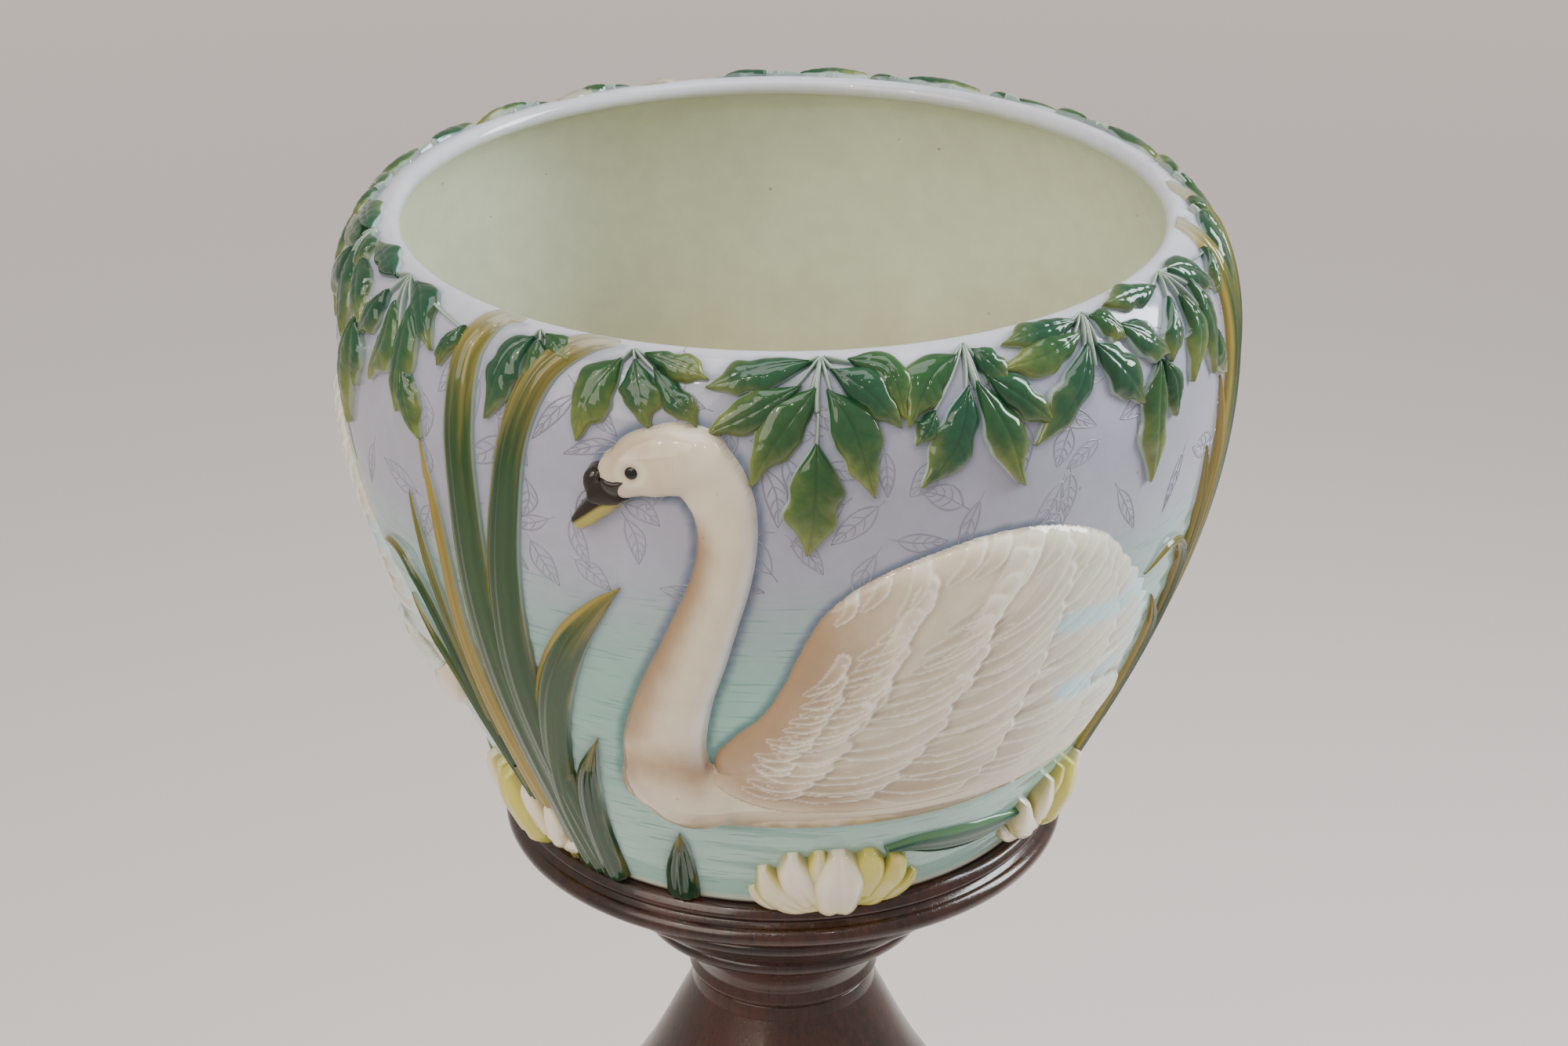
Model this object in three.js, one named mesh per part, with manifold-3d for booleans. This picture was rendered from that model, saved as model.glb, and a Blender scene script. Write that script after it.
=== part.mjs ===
// A glazed earthenware jardiniere, moulded in relief with swans, reeds, water lilies and a garland
// of leaves, standing on a turned mahogany pedestal.
//
// Millimetres, +Z up. The origin is on the floor, on the pedestal's axis, and -Y is the front.
// The bowl simply stands on the pedestal: it is one casting and lifts off. The pedestal is built
// from turned pieces that share one axis, tenoned into each other and screwed where grain allows.

import * as THREE from "three";
import { mergeVertices } from "three/addons/utils/BufferGeometryUtils.js";
import Module from "manifold-3d";

const wasm = await Module();
wasm.setup();

// ---------------------------------------------------------------------------------------------
// Driving dimensions
// ---------------------------------------------------------------------------------------------

const FIT_GAP = 0.3; // between pieces that go into or stand on each other

// The bowl
const BOWL_HEIGHT = 264;
const MOUTH_RADIUS = 155; // at the inner edge of the lip
const BELLY_RADIUS = 183;
const BELLY_HEIGHT = 210;
const FOOT_RADIUS = 113;
const FOOT_SLOPE = 0.5; // how far the wall leans out for each millimetre that it first rises
const WALL = 8;
const FLOOR = 10;
const FLOOR_FILLET = 14;
const FOOT_RING_WIDTH = 13;
const FOOT_RECESS = 4;

// The relief on the bowl
const PANELS = 3; // the same picture is repeated round the bowl
const SINK = 1.6; // how deep the edge of a raised form is buried in the wall
const SWAN_NECK_CROWN = 5.5;
const SWAN_BODY_CROWN = 6.5;
const SWAN_WING_CROWN = 7.5;
const FEATHER_CROWN = 9;
const REED_CROWN = 4.5;
const LEAF_CROWN = 4.5;
const PETAL_CROWN = 8;

// The pedestal, from the floor up
const FOOT_HEIGHT = 46;
const FOOT_BULGE_RADIUS = 33;
const FOOT_SOLE_RADIUS = 21;
const FOOT_COUNT = 3;
const FOOT_CIRCLE_RADIUS = 124;
const FOOT_PEG_RADIUS = 9;
const FOOT_PEG_LENGTH = 18;
const PLINTH_THICKNESS = 30;
const PLINTH_RADIUS = 166;
const STEP_THICKNESS = 26;
const STEP_RADIUS = 126;
const STEM_HEIGHT = 92;
const STEM_FOOT_RADIUS = 104;
const STEM_TENON_RADIUS = 21;
const STEM_TENON_IN_PLINTH = 15;
const KNOP_HEIGHT = 34;
const KNOP_RADIUS = 64;
const WAIST_RADIUS = 46; // of the turnings next to the knop
const COLUMN_HEIGHT = 432;
const URN_RADIUS = 102;
const URN_DROP = 128; // from the neck down to the widest part of the urn
const NECK_RADIUS = 41;
const TOP_TENON_RADIUS = 17;
const TOP_TENON_IN_BOARD = 10;
const LOW_TENON_RADIUS = 16;
const LOW_TENON_IN_STEM = 40;
const COLLAR_HEIGHT = 82;
const COLLAR_RADIUS = 112;
const BOARD_THICKNESS = 18;
const BOARD_RADIUS = 117; // of the flat top
const BOARD_BEAD = 5; // how far the bead stands out past the flat top

// Fastenings
const WEDGE_THICKNESS = 4;
const WEDGE_LENGTH = 22;
const SCREW_COUNT = 3;
const SCREW_SHANK_RADIUS = 2.6;
const SCREW_HEAD_RADIUS = 5.5;
const BOARD_SCREW_LENGTH = 40;
const BOARD_SCREW_CIRCLE = 60;
const PLINTH_SCREW_LENGTH = 44;
const PLINTH_SCREW_CIRCLE = 84;
const COACH_SCREW_RADIUS = 4.5;
const COACH_SCREW_LENGTH = 58;
const COACH_HEAD_RADIUS = 8.5;
const COACH_HEAD_HEIGHT = 6;
const WASHER_RADIUS = 13;
const WASHER_THICKNESS = 2;
const COUNTERBORE_DEPTH = 9;

// Facets
const BOWL_SIDES = 36;
const TURNED_SIDES = 30;
const FOOT_SIDES = 12;
const SCREW_SIDES = 6;

// ---------------------------------------------------------------------------------------------
// Heights of the seats, each from the piece below it
// ---------------------------------------------------------------------------------------------

const plinthBottom = FOOT_HEIGHT;
const stepBottom = plinthBottom + PLINTH_THICKNESS;
const stemBottom = stepBottom + STEP_THICKNESS;
const knopBottom = stemBottom + STEM_HEIGHT;
const columnBottom = knopBottom + KNOP_HEIGHT;
const collarBottom = columnBottom + COLUMN_HEIGHT;
const boardBottom = collarBottom + COLLAR_HEIGHT;
const standTop = boardBottom + BOARD_THICKNESS;
const bowlBottom = standTop + FIT_GAP;

// ---------------------------------------------------------------------------------------------
// Materials
// ---------------------------------------------------------------------------------------------

const glaze = new THREE.MeshStandardMaterial({ color: 0x9fa59c, roughness: 0.12, metalness: 0 });
const mahogany = new THREE.MeshStandardMaterial({ color: 0x2a120b, roughness: 0.25, metalness: 0 });
const beech = new THREE.MeshStandardMaterial({ color: 0x9a7448, roughness: 0.6, metalness: 0 });
const steel = new THREE.MeshStandardMaterial({ color: 0x6f6a62, roughness: 0.4, metalness: 1 });

// ---------------------------------------------------------------------------------------------
// Solids
// ---------------------------------------------------------------------------------------------

// A closed geometry with its shared vertices merged, as a solid that can be joined and cut.
function toSolid(geometry) {
  const bare = new THREE.BufferGeometry();
  bare.setAttribute("position", geometry.getAttribute("position"));
  bare.setIndex(geometry.getIndex());
  const merged = mergeVertices(bare, 1e-4);
  const index = merged.getIndex().array;
  const triangles = [];
  for (let i = 0; i < index.length; i += 3) {
    const [a, b, c] = [index[i], index[i + 1], index[i + 2]];
    if (a !== b && b !== c && c !== a) {
      triangles.push(a, b, c);
    }
  }
  return new wasm.Manifold(new wasm.Mesh({
    numProp: 3,
    vertProperties: new Float32Array(merged.getAttribute("position").array),
    triVerts: new Uint32Array(triangles),
  }));
}

function toGeometry(solid) {
  const mesh = solid.getMesh();
  const geometry = new THREE.BufferGeometry();
  geometry.setAttribute("position", new THREE.BufferAttribute(mesh.vertProperties, 3));
  geometry.setIndex(new THREE.BufferAttribute(mesh.triVerts, 1));
  return geometry;
}

// A profile of [radius, height] points, up the outside and down the inside, turned about Z.
function turned(profile, sides) {
  const points = profile.map(([radius, height]) => new THREE.Vector2(radius, height));
  return new THREE.LatheGeometry(points, sides).rotateX(Math.PI / 2);
}

// A plain round bar or a hole, from one height to another.
function rod(radius, from, to, sides) {
  return turned([[0, from], [radius, from], [radius, to], [0, to]], sides);
}

// Points along an arc in the profile plane, in degrees from +radius, the first and last included.
function arc(radius, height, size, from, to, steps) {
  const points = [];
  for (let i = 0; i <= steps; i++) {
    const angle = THREE.MathUtils.degToRad(from + (to - from) * i / steps);
    points.push([radius + size * Math.cos(angle), height + size * Math.sin(angle)]);
  }
  return points;
}

// A smooth profile through a few [radius, height] points.
function smooth(points, steps) {
  const curve = new THREE.SplineCurve(points.map(([radius, height]) => new THREE.Vector2(radius, height)));
  return curve.getPoints(steps).map((point) => [point.x, point.y]);
}

function moved(geometry, circleRadius, turn) {
  return geometry.clone().translate(0, -circleRadius, 0).rotateZ(turn);
}

function piece(name, geometry, material) {
  const mesh = new THREE.Mesh(geometry, material);
  mesh.name = name;
  return mesh;
}

// ---------------------------------------------------------------------------------------------
// The bowl's wall: places on it are an angle round the bowl and a climb up the wall's curve
// ---------------------------------------------------------------------------------------------

// The outside, from the edge of the foot to the crest of the lip.
const noseRadius = WALL / 2;
const crestRadius = MOUTH_RADIUS + noseRadius;
const wallCurve = new THREE.Path();
wallCurve.moveTo(FOOT_RADIUS, 0);
wallCurve.bezierCurveTo(
  FOOT_RADIUS + FOOT_SLOPE * BELLY_HEIGHT / 3, BELLY_HEIGHT / 3,
  BELLY_RADIUS, BELLY_HEIGHT * 0.62,
  BELLY_RADIUS, BELLY_HEIGHT,
);
wallCurve.absellipse(
  crestRadius, BELLY_HEIGHT,
  BELLY_RADIUS - crestRadius, BOWL_HEIGHT - BELLY_HEIGHT,
  0, Math.PI / 2, false, 0,
);
const wallLength = wallCurve.getLength();
const shoulderClimb = wallCurve.curves[0].getLength(); // where the wall turns in towards the lip

// A point of the profile, raised square to the wall (or sunk into it where lift is negative).
function onProfile(climb, lift) {
  const share = THREE.MathUtils.clamp(climb / wallLength, 0, 1);
  const point = wallCurve.getPointAt(share);
  const along = wallCurve.getTangentAt(share);
  return [point.x + along.y * lift, point.y - along.x * lift];
}

function onWall(degrees, climb, lift) {
  const [radius, height] = onProfile(climb, lift);
  const angle = THREE.MathUtils.degToRad(degrees);
  return new THREE.Vector3(radius * Math.sin(angle), -radius * Math.cos(angle), bowlBottom + height);
}

// How many degrees round the wall a sideways millimetre is.
function degreesPerMillimetre(climb) {
  return THREE.MathUtils.radToDeg(1 / onProfile(climb, 0)[0]);
}

// Sections of the raised forms: [place across, share of the crown], with both edges buried.
const ROUND = [[-0.72, 0.66], [0, 1], [0.72, 0.66]]; // the swan's neck, body and wing
const RIDGED = [[0, 1]]; // a leaf, a reed or a long feather, with its rib standing up
const BROAD = [[-0.55, 1], [0.55, 1]]; // a petal

// A raised form that follows a line drawn on the wall. Each point of the line is
// [degrees, climb, half width, crown]; both ends close to a point.
function raised(line, steps, section, turn) {
  const places = new THREE.CatmullRomCurve3(line.map(([degrees, climb]) => (
    new THREE.Vector3(degrees / degreesPerMillimetre(climb), climb, 0))));
  const sizes = new THREE.CatmullRomCurve3(line.map(([, , width, crown]) => (
    new THREE.Vector3(width, crown, 0))));
  const drawn = line.map(([degrees]) => degrees);
  const degreesAt = (t) => {
    const place = t * (drawn.length - 1);
    const before = Math.min(Math.floor(place), drawn.length - 2);
    return THREE.MathUtils.lerp(drawn[before], drawn[before + 1], place - before);
  };
  const positions = [];
  const addPoint = (degrees, climb, lift) => positions.push(...onWall(degrees + turn, climb, lift).toArray());

  const ringSize = section.length + 2;
  const rings = steps - 1;
  for (let i = 1; i <= rings; i++) {
    const t = i / steps;
    const place = places.getPoint(t);
    const ahead = places.getTangent(t);
    const size = sizes.getPoint(t);
    const degrees = degreesAt(t);
    const across = [[-1, -SINK], ...section.map(([side, share]) => [side, share * size.y]), [1, -SINK]];
    for (const [side, lift] of across) {
      const climb = place.y + ahead.x * side * size.x;
      const sideways = -ahead.y * side * size.x;
      addPoint(degrees + sideways * degreesPerMillimetre(place.y), climb, lift);
    }
  }
  const [first, last] = [line[0], line[line.length - 1]];
  addPoint(first[0], first[1], -SINK / 2);
  addPoint(last[0], last[1], -SINK / 2);

  const start = rings * ringSize;
  const end = start + 1;
  const index = [];
  for (let k = 0; k < ringSize; k++) {
    const next = (k + 1) % ringSize;
    index.push(start, k, next);
    for (let i = 0; i < rings - 1; i++) {
      const [near, far] = [i * ringSize, (i + 1) * ringSize];
      index.push(near + k, far + k, far + next);
      index.push(near + k, far + next, near + next);
    }
    const lastRing = (rings - 1) * ringSize;
    index.push(lastRing + k, end, lastRing + next);
  }
  const geometry = new THREE.BufferGeometry();
  geometry.setAttribute("position", new THREE.Float32BufferAttribute(positions, 3));
  geometry.setIndex(index);
  return geometry;
}

// ---------------------------------------------------------------------------------------------
// The picture on one panel of the bowl. Degrees run to the right from the panel's middle.
// ---------------------------------------------------------------------------------------------

function swan(turn) {
  const neck = SWAN_NECK_CROWN;
  const body = SWAN_BODY_CROWN;
  const wing = SWAN_WING_CROWN;
  const neckAndHead = [
    [-15, 62, 10, neck], [-17, 96, 19, neck], [-13.6, 140, 14, neck], [-9.2, 177, 11.4, neck],
    [-6.9, 206, 10.3, neck], [-7.6, 229, 11.5, neck], [-12, 242, 13.5, neck * 1.1],
    [-17, 242.5, 13, neck], [-21.3, 238, 7, neck * 0.7],
  ];
  const bill = [[-19.4, 239, 5, neck * 0.6], [-22, 231, 6.5, neck * 0.75], [-24, 222, 4, neck * 0.5], [-25.2, 215, 2, 2]];
  const breastAndBelly = [
    [-25.5, 84, 8, body * 0.5], [-19, 83, 24, body], [0, 86, 29, body], [22, 88, 31, body],
    [42, 88, 25, body * 0.8], [56, 93, 12, body * 0.5], [62, 99, 4, 2],
  ];
  const wingMass = [
    [-7, 108, 6, wing * 0.4], [5, 136, 34, wing * 0.9], [20, 148, 56, wing], [36, 150, 50, wing * 0.9],
    [49, 152, 28, wing * 0.6], [54, 150, 8, 3],
  ];
  const forms = [
    raised(breastAndBelly, 8, ROUND, turn),
    raised(wingMass, 6, ROUND, turn),
    raised(neckAndHead, 9, ROUND, turn),
    raised(bill, 3, RIDGED, turn),
  ];
  // The long feathers fan from the middle of the wing to its back edge, the lowest one longest.
  const fan = [
    [[20, 178], [49, 186]],
    [[18, 160], [53, 170]],
    [[19, 142], [57, 152]],
    [[22, 124], [60, 134]],
    [[27, 108], [62, 117]],
  ];
  for (const [root, tip] of fan) {
    const [middle, climb] = [(root[0] + tip[0]) / 2, (root[1] + tip[1]) / 2 + 3];
    forms.push(raised([
      [...root, 6, FEATHER_CROWN], [middle, climb, 9.5, FEATHER_CROWN],
      [(middle + tip[0]) / 2, (climb + tip[1]) / 2 + 1, 9, FEATHER_CROWN * 0.8], [...tip, 3, 3],
    ], 3, RIDGED, turn));
  }
  return forms;
}

function reeds(turn) {
  const high = wallLength - 4;
  const crown = REED_CROWN;
  const blades = [
    [[-43.5, 1, 8, crown], [-42.3, 60, 10.5, crown], [-41.5, 130, 8.5, crown], [-41.4, 200, 7, crown],
      [-42.2, 245, 7.2, crown], [-43.4, high, 5.5, crown]],
    [[-38.5, 1, 7, crown], [-37.8, 70, 9.5, crown], [-36.4, 130, 8, crown], [-34.6, 195, 7, crown],
      [-32.6, 240, 5.6, crown], [-28.2, high, 6, crown]],
    [[-40, 20, 5, crown], [-37.2, 70, 6.5, crown], [-32.6, 120, 6, crown], [-27.6, 157, 5.5, crown],
      [-19.7, 187, 1, 1]],
    [[-37, 1, 5, crown], [-35.4, 40, 5.6, crown], [-31.8, 75, 5, crown], [-27.4, 102, 1, 1]],
    [[-50.4, 226, 1, 1], [-46.2, 185, 2.8, crown * 0.7], [-46.6, 130, 4, crown * 0.7],
      [-49.5, 60, 6.5, crown * 0.7], [-52.5, 1, 6, crown * 0.7]],
    [[-21.5, 1, 5, crown], [-19.8, 24, 6, crown], [-17.6, 46, 1, 1]],
  ];
  return blades.map((blade) => raised(blade, blade.length, RIDGED, turn));
}

// A lily of broad petals that rise from one point at the foot of the wall.
function lily(middle, size, turn) {
  const petals = [
    [-60, 1, 8, 0.75], [-22, 1.12, 10, 1], [20, 1.15, 10, 1], [58, 1.02, 8, 0.8],
  ];
  return petals.map(([lean, reach, width, rise]) => {
    const angle = THREE.MathUtils.degToRad(lean);
    const at = (share) => [
      middle + Math.sin(angle) * share * reach * size * degreesPerMillimetre(size / 2),
      2 + Math.cos(angle) * share * reach * size,
    ];
    const crown = PETAL_CROWN * rise;
    return raised([
      [...at(-0.02), 3, crown], [...at(0.4), width, crown], [...at(0.75), width * 0.95, crown * 0.9],
      [...at(1), 1, 1],
    ], 3, BROAD, turn);
  });
}

function lilyPad(turn) {
  return raised([[18, 37, 3, 2], [27, 38, 8, 3], [38, 33, 8, 3], [49, 27, 1, 1]], 3, RIDGED, turn);
}

// The garland: sprays of leaves that hang from under the lip. Each spray has its place round the
// bowl and how far below the crest its leaves spring from, and each leaf has where its tip lies
// from there, in degrees round and millimetres down, and its half width.
const garland = [
  { at: -34.4, drop: 5, leaves: [[-4.6, 34, 7.5], [3.6, 20, 6]] },
  { at: -20.6, drop: 5, leaves: [[-8, 29, 6.5], [-5.2, 38, 8], [7.8, 24, 7.5]] },
  { at: 5.3, drop: 4, leaves: [[-14, 24, 8], [-8, 46, 9], [5.4, 50, 8.5], [7.4, 25, 7.5]] },
  { at: 4.6, drop: 33, leaves: [[-1.2, 44, 8.5]] },
  { at: 23.5, drop: 5, leaves: [[-8.4, 32, 8], [-6, 50, 9], [6.6, 56, 9], [9.5, 28, 8]] },
  { at: 43, drop: 8, leaves: [[-12.4, 16, 7], [-11.2, 40, 9], [6.6, 38, 9]] },
  { at: 54, drop: 27, leaves: [[-2.4, 52, 8], [3.8, 34, 7]] },
  { at: 63, drop: 5, leaves: [[-2, 44, 9], [7.6, 32, 8]] },
];

function leaf(at, drop, [aside, down, width], turn) {
  const top = wallLength - drop;
  const bend = aside * 0.12; // the leaves swing out before they hang
  const crown = LEAF_CROWN;
  return raised([
    [at, top, width * 0.3, crown * 0.3],
    [at + aside * 0.4 + bend, top - down * 0.3, width, crown],
    [at + aside * 0.8 + bend, top - down * 0.68, width * 0.85, crown],
    [at + aside, top - down, 1, 1],
  ], 3, RIDGED, turn);
}

function picture(turn) {
  const leaves = garland.flatMap((spray) => (
    spray.leaves.map((shape) => leaf(spray.at, spray.drop, shape, turn))));
  return [
    ...leaves,
    ...reeds(turn),
    ...swan(turn),
    ...lily(8.5, 33, turn),
    ...lily(60, 30, turn),
    lilyPad(turn),
  ];
}

// ---------------------------------------------------------------------------------------------
// The bowl
// ---------------------------------------------------------------------------------------------

// Climbs from the foot to the crest, closer together on the tight curve of the shoulder.
function climbs(wallSteps, shoulderSteps) {
  const list = [];
  for (let i = 0; i < wallSteps; i++) {
    list.push(shoulderClimb * i / wallSteps);
  }
  for (let i = 0; i <= shoulderSteps; i++) {
    list.push(shoulderClimb + (wallLength - shoulderClimb) * i / shoulderSteps);
  }
  return list;
}

function bowlGeometry() {
  const outer = climbs(5, 4).map((climb) => onProfile(climb, 0));
  const nose = arc(crestRadius, BOWL_HEIGHT - noseRadius, noseRadius, 90, 270, 2).slice(1, -1);
  const inner = climbs(5, 3).reverse().map((climb) => onProfile(climb, -WALL));
  const [lowRadius, lowHeight] = onProfile(FLOOR + FLOOR_FILLET, -WALL); // where the fillet starts
  const wallInside = inner.filter(([, height]) => height > lowHeight + FLOOR_FILLET / 2);
  const ringInside = FOOT_RADIUS - FOOT_RING_WIDTH;
  const profile = [
    [0, FOOT_RECESS],
    [ringInside - FOOT_RECESS, FOOT_RECESS],
    [ringInside, 0],
    ...outer,
    ...nose,
    ...wallInside,
    [lowRadius, lowHeight],
    [lowRadius - FLOOR_FILLET * 0.3, FLOOR + FLOOR_FILLET * 0.3],
    [lowRadius - FLOOR_FILLET, FLOOR],
    [0, FLOOR],
  ];
  const shell = turned(profile, BOWL_SIDES).translate(0, 0, bowlBottom);
  let bowl = toSolid(shell);
  for (let panel = 0; panel < PANELS; panel++) {
    for (const form of picture(360 / PANELS * panel)) {
      bowl = bowl.add(toSolid(form));
    }
  }
  // What is raised near the foot ends flush with it.
  const underFoot = rod(2 * FOOT_RADIUS, bowlBottom - BOWL_HEIGHT, bowlBottom, BOWL_SIDES);
  const bodies = bowl.subtract(toSolid(underFoot)).decompose();
  // Where forms cross inside the wall, rounding can leave a sliver of no volume beside the casting.
  return toGeometry(bodies.sort((a, b) => b.volume() - a.volume())[0]);
}

// ---------------------------------------------------------------------------------------------
// Fastenings
// ---------------------------------------------------------------------------------------------

// A countersunk wood screw with its head's face at height 0 and its point below.
function woodScrew(length, extra) {
  const head = SCREW_HEAD_RADIUS + extra;
  const shank = SCREW_SHANK_RADIUS + extra;
  return turned([
    [0, -length - extra],
    [shank, -length - extra + shank],
    [shank, shank - head],
    [head, 0],
    [head, extra],
    [0, extra],
  ].filter(([, height], i) => extra > 0 || i !== 4), SCREW_SIDES);
}

// Screws or their holes, on a circle: down through the top board, or up through the plinth.
function screwRing(length, extra, circleRadius, headHeight, pointsUp) {
  const ring = [];
  for (let i = 0; i < SCREW_COUNT; i++) {
    const screw = woodScrew(length, extra);
    if (pointsUp) {
      screw.rotateX(Math.PI);
    }
    screw.translate(0, 0, headHeight);
    ring.push(moved(screw, circleRadius, 2 * Math.PI * (i + 0.5) / SCREW_COUNT));
  }
  return ring;
}

const boardScrews = (extra) => (
  screwRing(BOARD_SCREW_LENGTH, extra, BOARD_SCREW_CIRCLE, standTop - FIT_GAP, false));
const plinthScrews = (extra) => (
  screwRing(PLINTH_SCREW_LENGTH, extra, PLINTH_SCREW_CIRCLE, plinthBottom + FIT_GAP, true));

function cut(geometry, cutters) {
  return toGeometry(cutters.reduce((solid, cutter) => solid.subtract(toSolid(cutter)), toSolid(geometry)));
}

// The coach screw goes up through a washer in the plinth's counterbore into the stem's tenon.
const washerTop = plinthBottom + COUNTERBORE_DEPTH;
const washerBottom = washerTop - WASHER_THICKNESS;

function coachScrewGeometry() {
  const headBottom = washerBottom - COACH_HEAD_HEIGHT;
  const head = rod(COACH_HEAD_RADIUS, headBottom, washerBottom, 6);
  const shank = turned([
    [0, washerBottom - 1],
    [COACH_SCREW_RADIUS, washerBottom - 1],
    [COACH_SCREW_RADIUS, washerBottom + COACH_SCREW_LENGTH - COACH_SCREW_RADIUS],
    [0, washerBottom + COACH_SCREW_LENGTH],
  ], SCREW_SIDES);
  return toGeometry(toSolid(head).add(toSolid(shank)));
}

function coachScrewHole() {
  const length = COACH_SCREW_LENGTH + FIT_GAP;
  return rod(COACH_SCREW_RADIUS + FIT_GAP, washerBottom - 1, washerBottom + length, SCREW_SIDES);
}

function washerGeometry() {
  const bore = COACH_SCREW_RADIUS + FIT_GAP;
  return turned([
    [bore, washerBottom], [WASHER_RADIUS, washerBottom],
    [WASHER_RADIUS, washerTop], [bore, washerTop], [bore, washerBottom],
  ], FOOT_SIDES);
}

// A thin wedge that spreads a tenon's end in its mortise. Its thick end is at the tenon's end.
function wedgeOutline(extra) {
  const half = WEDGE_THICKNESS / 2 + extra;
  const outline = new THREE.Shape();
  outline.moveTo(-half, 0);
  outline.lineTo(half, 0);
  outline.lineTo(half * 0.3, -WEDGE_LENGTH - extra);
  outline.lineTo(-half * 0.3, -WEDGE_LENGTH - extra);
  outline.closePath();
  return outline;
}

function wedgeGeometry(width, extra) {
  const solid = new THREE.ExtrudeGeometry(wedgeOutline(extra), { depth: width, bevelEnabled: false });
  return solid.translate(0, 0, -width / 2).rotateX(Math.PI / 2);
}

// ---------------------------------------------------------------------------------------------
// The pedestal's turned pieces
// ---------------------------------------------------------------------------------------------

// The round top board: a flat seat, an ogee edge, a groove and a bead.
function boardGeometry() {
  const beadRadius = BOARD_RADIUS + BOARD_BEAD;
  const beadMiddle = boardBottom + 5;
  const bottomRadius = COLLAR_RADIUS + 3;
  const mortise = TOP_TENON_RADIUS + FIT_GAP;
  const mortiseTop = boardBottom + TOP_TENON_IN_BOARD + FIT_GAP;
  const board = turned([
    [mortise, boardBottom],
    [bottomRadius, boardBottom],
    ...arc(beadRadius - 4.5, beadMiddle, 4.5, -60, 75, 3),
    [BOARD_RADIUS - 0.5, boardBottom + BOARD_THICKNESS * 0.62],
    [BOARD_RADIUS + 1.5, standTop - 4],
    [BOARD_RADIUS - 1.5, standTop],
    [0, standTop],
    [0, mortiseTop],
    [mortise, mortiseTop],
    [mortise, boardBottom],
  ], TURNED_SIDES);
  return cut(board, boardScrews(FIT_GAP));
}

// The moulded block under the board, turned down in rings to the column's neck.
function collarGeometry() {
  const down = (share) => boardBottom - COLLAR_HEIGHT * share;
  const out = (share) => NECK_RADIUS + (COLLAR_RADIUS - NECK_RADIUS) * share;
  const bore = TOP_TENON_RADIUS + FIT_GAP;
  const profile = [
    [bore, collarBottom],
    [NECK_RADIUS - 1, collarBottom],
    [NECK_RADIUS + 1.5, down(0.96)],
    ...smooth([[out(0), down(0.9)], [out(0.05), down(0.78)], [out(0.2), down(0.66)]], 2),
    ...arc(out(0.27), down(0.575), COLLAR_HEIGHT * 0.05, -50, 60, 2),
    [out(0.4), down(0.49)],
    [out(0.58), down(0.34)],
    ...arc(out(0.6), down(0.28), COLLAR_HEIGHT * 0.045, -50, 60, 2),
    ...smooth([[out(0.66), down(0.22)], [out(0.86), down(0.1)], [out(1), down(0.04)]], 2),
    [COLLAR_RADIUS, boardBottom],
    [bore, boardBottom],
    [bore, collarBottom],
  ];
  return cut(turned(profile, TURNED_SIDES), boardScrews(FIT_GAP));
}

// The column: a slim neck that swells into an urn and tapers to a waist, with a tenon at each end.
function columnGeometry() {
  const urnMiddle = collarBottom - URN_DROP;
  const foot = columnBottom + 14;
  const tenonTop = boardBottom + TOP_TENON_IN_BOARD;
  const tenonBottom = knopBottom - LOW_TENON_IN_STEM;
  const below = (share) => foot + (urnMiddle - foot) * share;
  const above = (share) => urnMiddle + URN_DROP * share;
  const belowOut = (share) => WAIST_RADIUS - 3 + (URN_RADIUS - WAIST_RADIUS + 3) * share;
  const aboveOut = (share) => NECK_RADIUS + (URN_RADIUS - NECK_RADIUS) * share;
  const column = turned([
    [0, tenonBottom],
    [LOW_TENON_RADIUS, tenonBottom],
    [LOW_TENON_RADIUS, columnBottom],
    [WAIST_RADIUS + 3, columnBottom],
    [WAIST_RADIUS + 6, columnBottom + 5],
    [WAIST_RADIUS + 3, columnBottom + 10],
    ...smooth([
      [belowOut(0), foot], [belowOut(0.02), below(0.14)], [belowOut(0.24), below(0.4)],
      [belowOut(0.66), below(0.7)], [belowOut(0.93), below(0.89)], [URN_RADIUS, urnMiddle],
      [aboveOut(0.93), above(0.2)], [aboveOut(0.64), above(0.39)], [aboveOut(0.34), above(0.62)],
      [aboveOut(0.09), above(0.86)], [aboveOut(0), above(0.95)],
    ], 10),
    [NECK_RADIUS - 1, collarBottom],
    [TOP_TENON_RADIUS, collarBottom],
    [TOP_TENON_RADIUS, tenonTop],
    [0, tenonTop],
  ], TURNED_SIDES);
  return cut(column, [topWedge(FIT_GAP), lowWedge(FIT_GAP)]);
}

// Each wedge fills the saw cut in its tenon's end, flush with the end.
function topWedge(extra) {
  const width = 2 * TOP_TENON_RADIUS * 0.8 + 2 * extra;
  return wedgeGeometry(width, extra).translate(0, 0, boardBottom + TOP_TENON_IN_BOARD);
}

function lowWedge(extra) {
  const width = 2 * LOW_TENON_RADIUS * 0.8 + 2 * extra;
  return wedgeGeometry(width, extra).rotateX(Math.PI).translate(0, 0, knopBottom - LOW_TENON_IN_STEM);
}

// The knop: a plump ring between the column and the stem.
function knopGeometry() {
  const bore = LOW_TENON_RADIUS + FIT_GAP;
  const middle = knopBottom + KNOP_HEIGHT / 2;
  const roll = KNOP_HEIGHT * 0.34;
  return turned([
    [bore, knopBottom],
    [WAIST_RADIUS + 3, knopBottom],
    [WAIST_RADIUS + 3, knopBottom + KNOP_HEIGHT * 0.12],
    ...arc(KNOP_RADIUS - roll, middle, roll, -78, 78, 4),
    [WAIST_RADIUS + 3, columnBottom - KNOP_HEIGHT * 0.12],
    [WAIST_RADIUS + 3, columnBottom],
    [bore, columnBottom],
    [bore, knopBottom],
  ], TURNED_SIDES);
}

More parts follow.
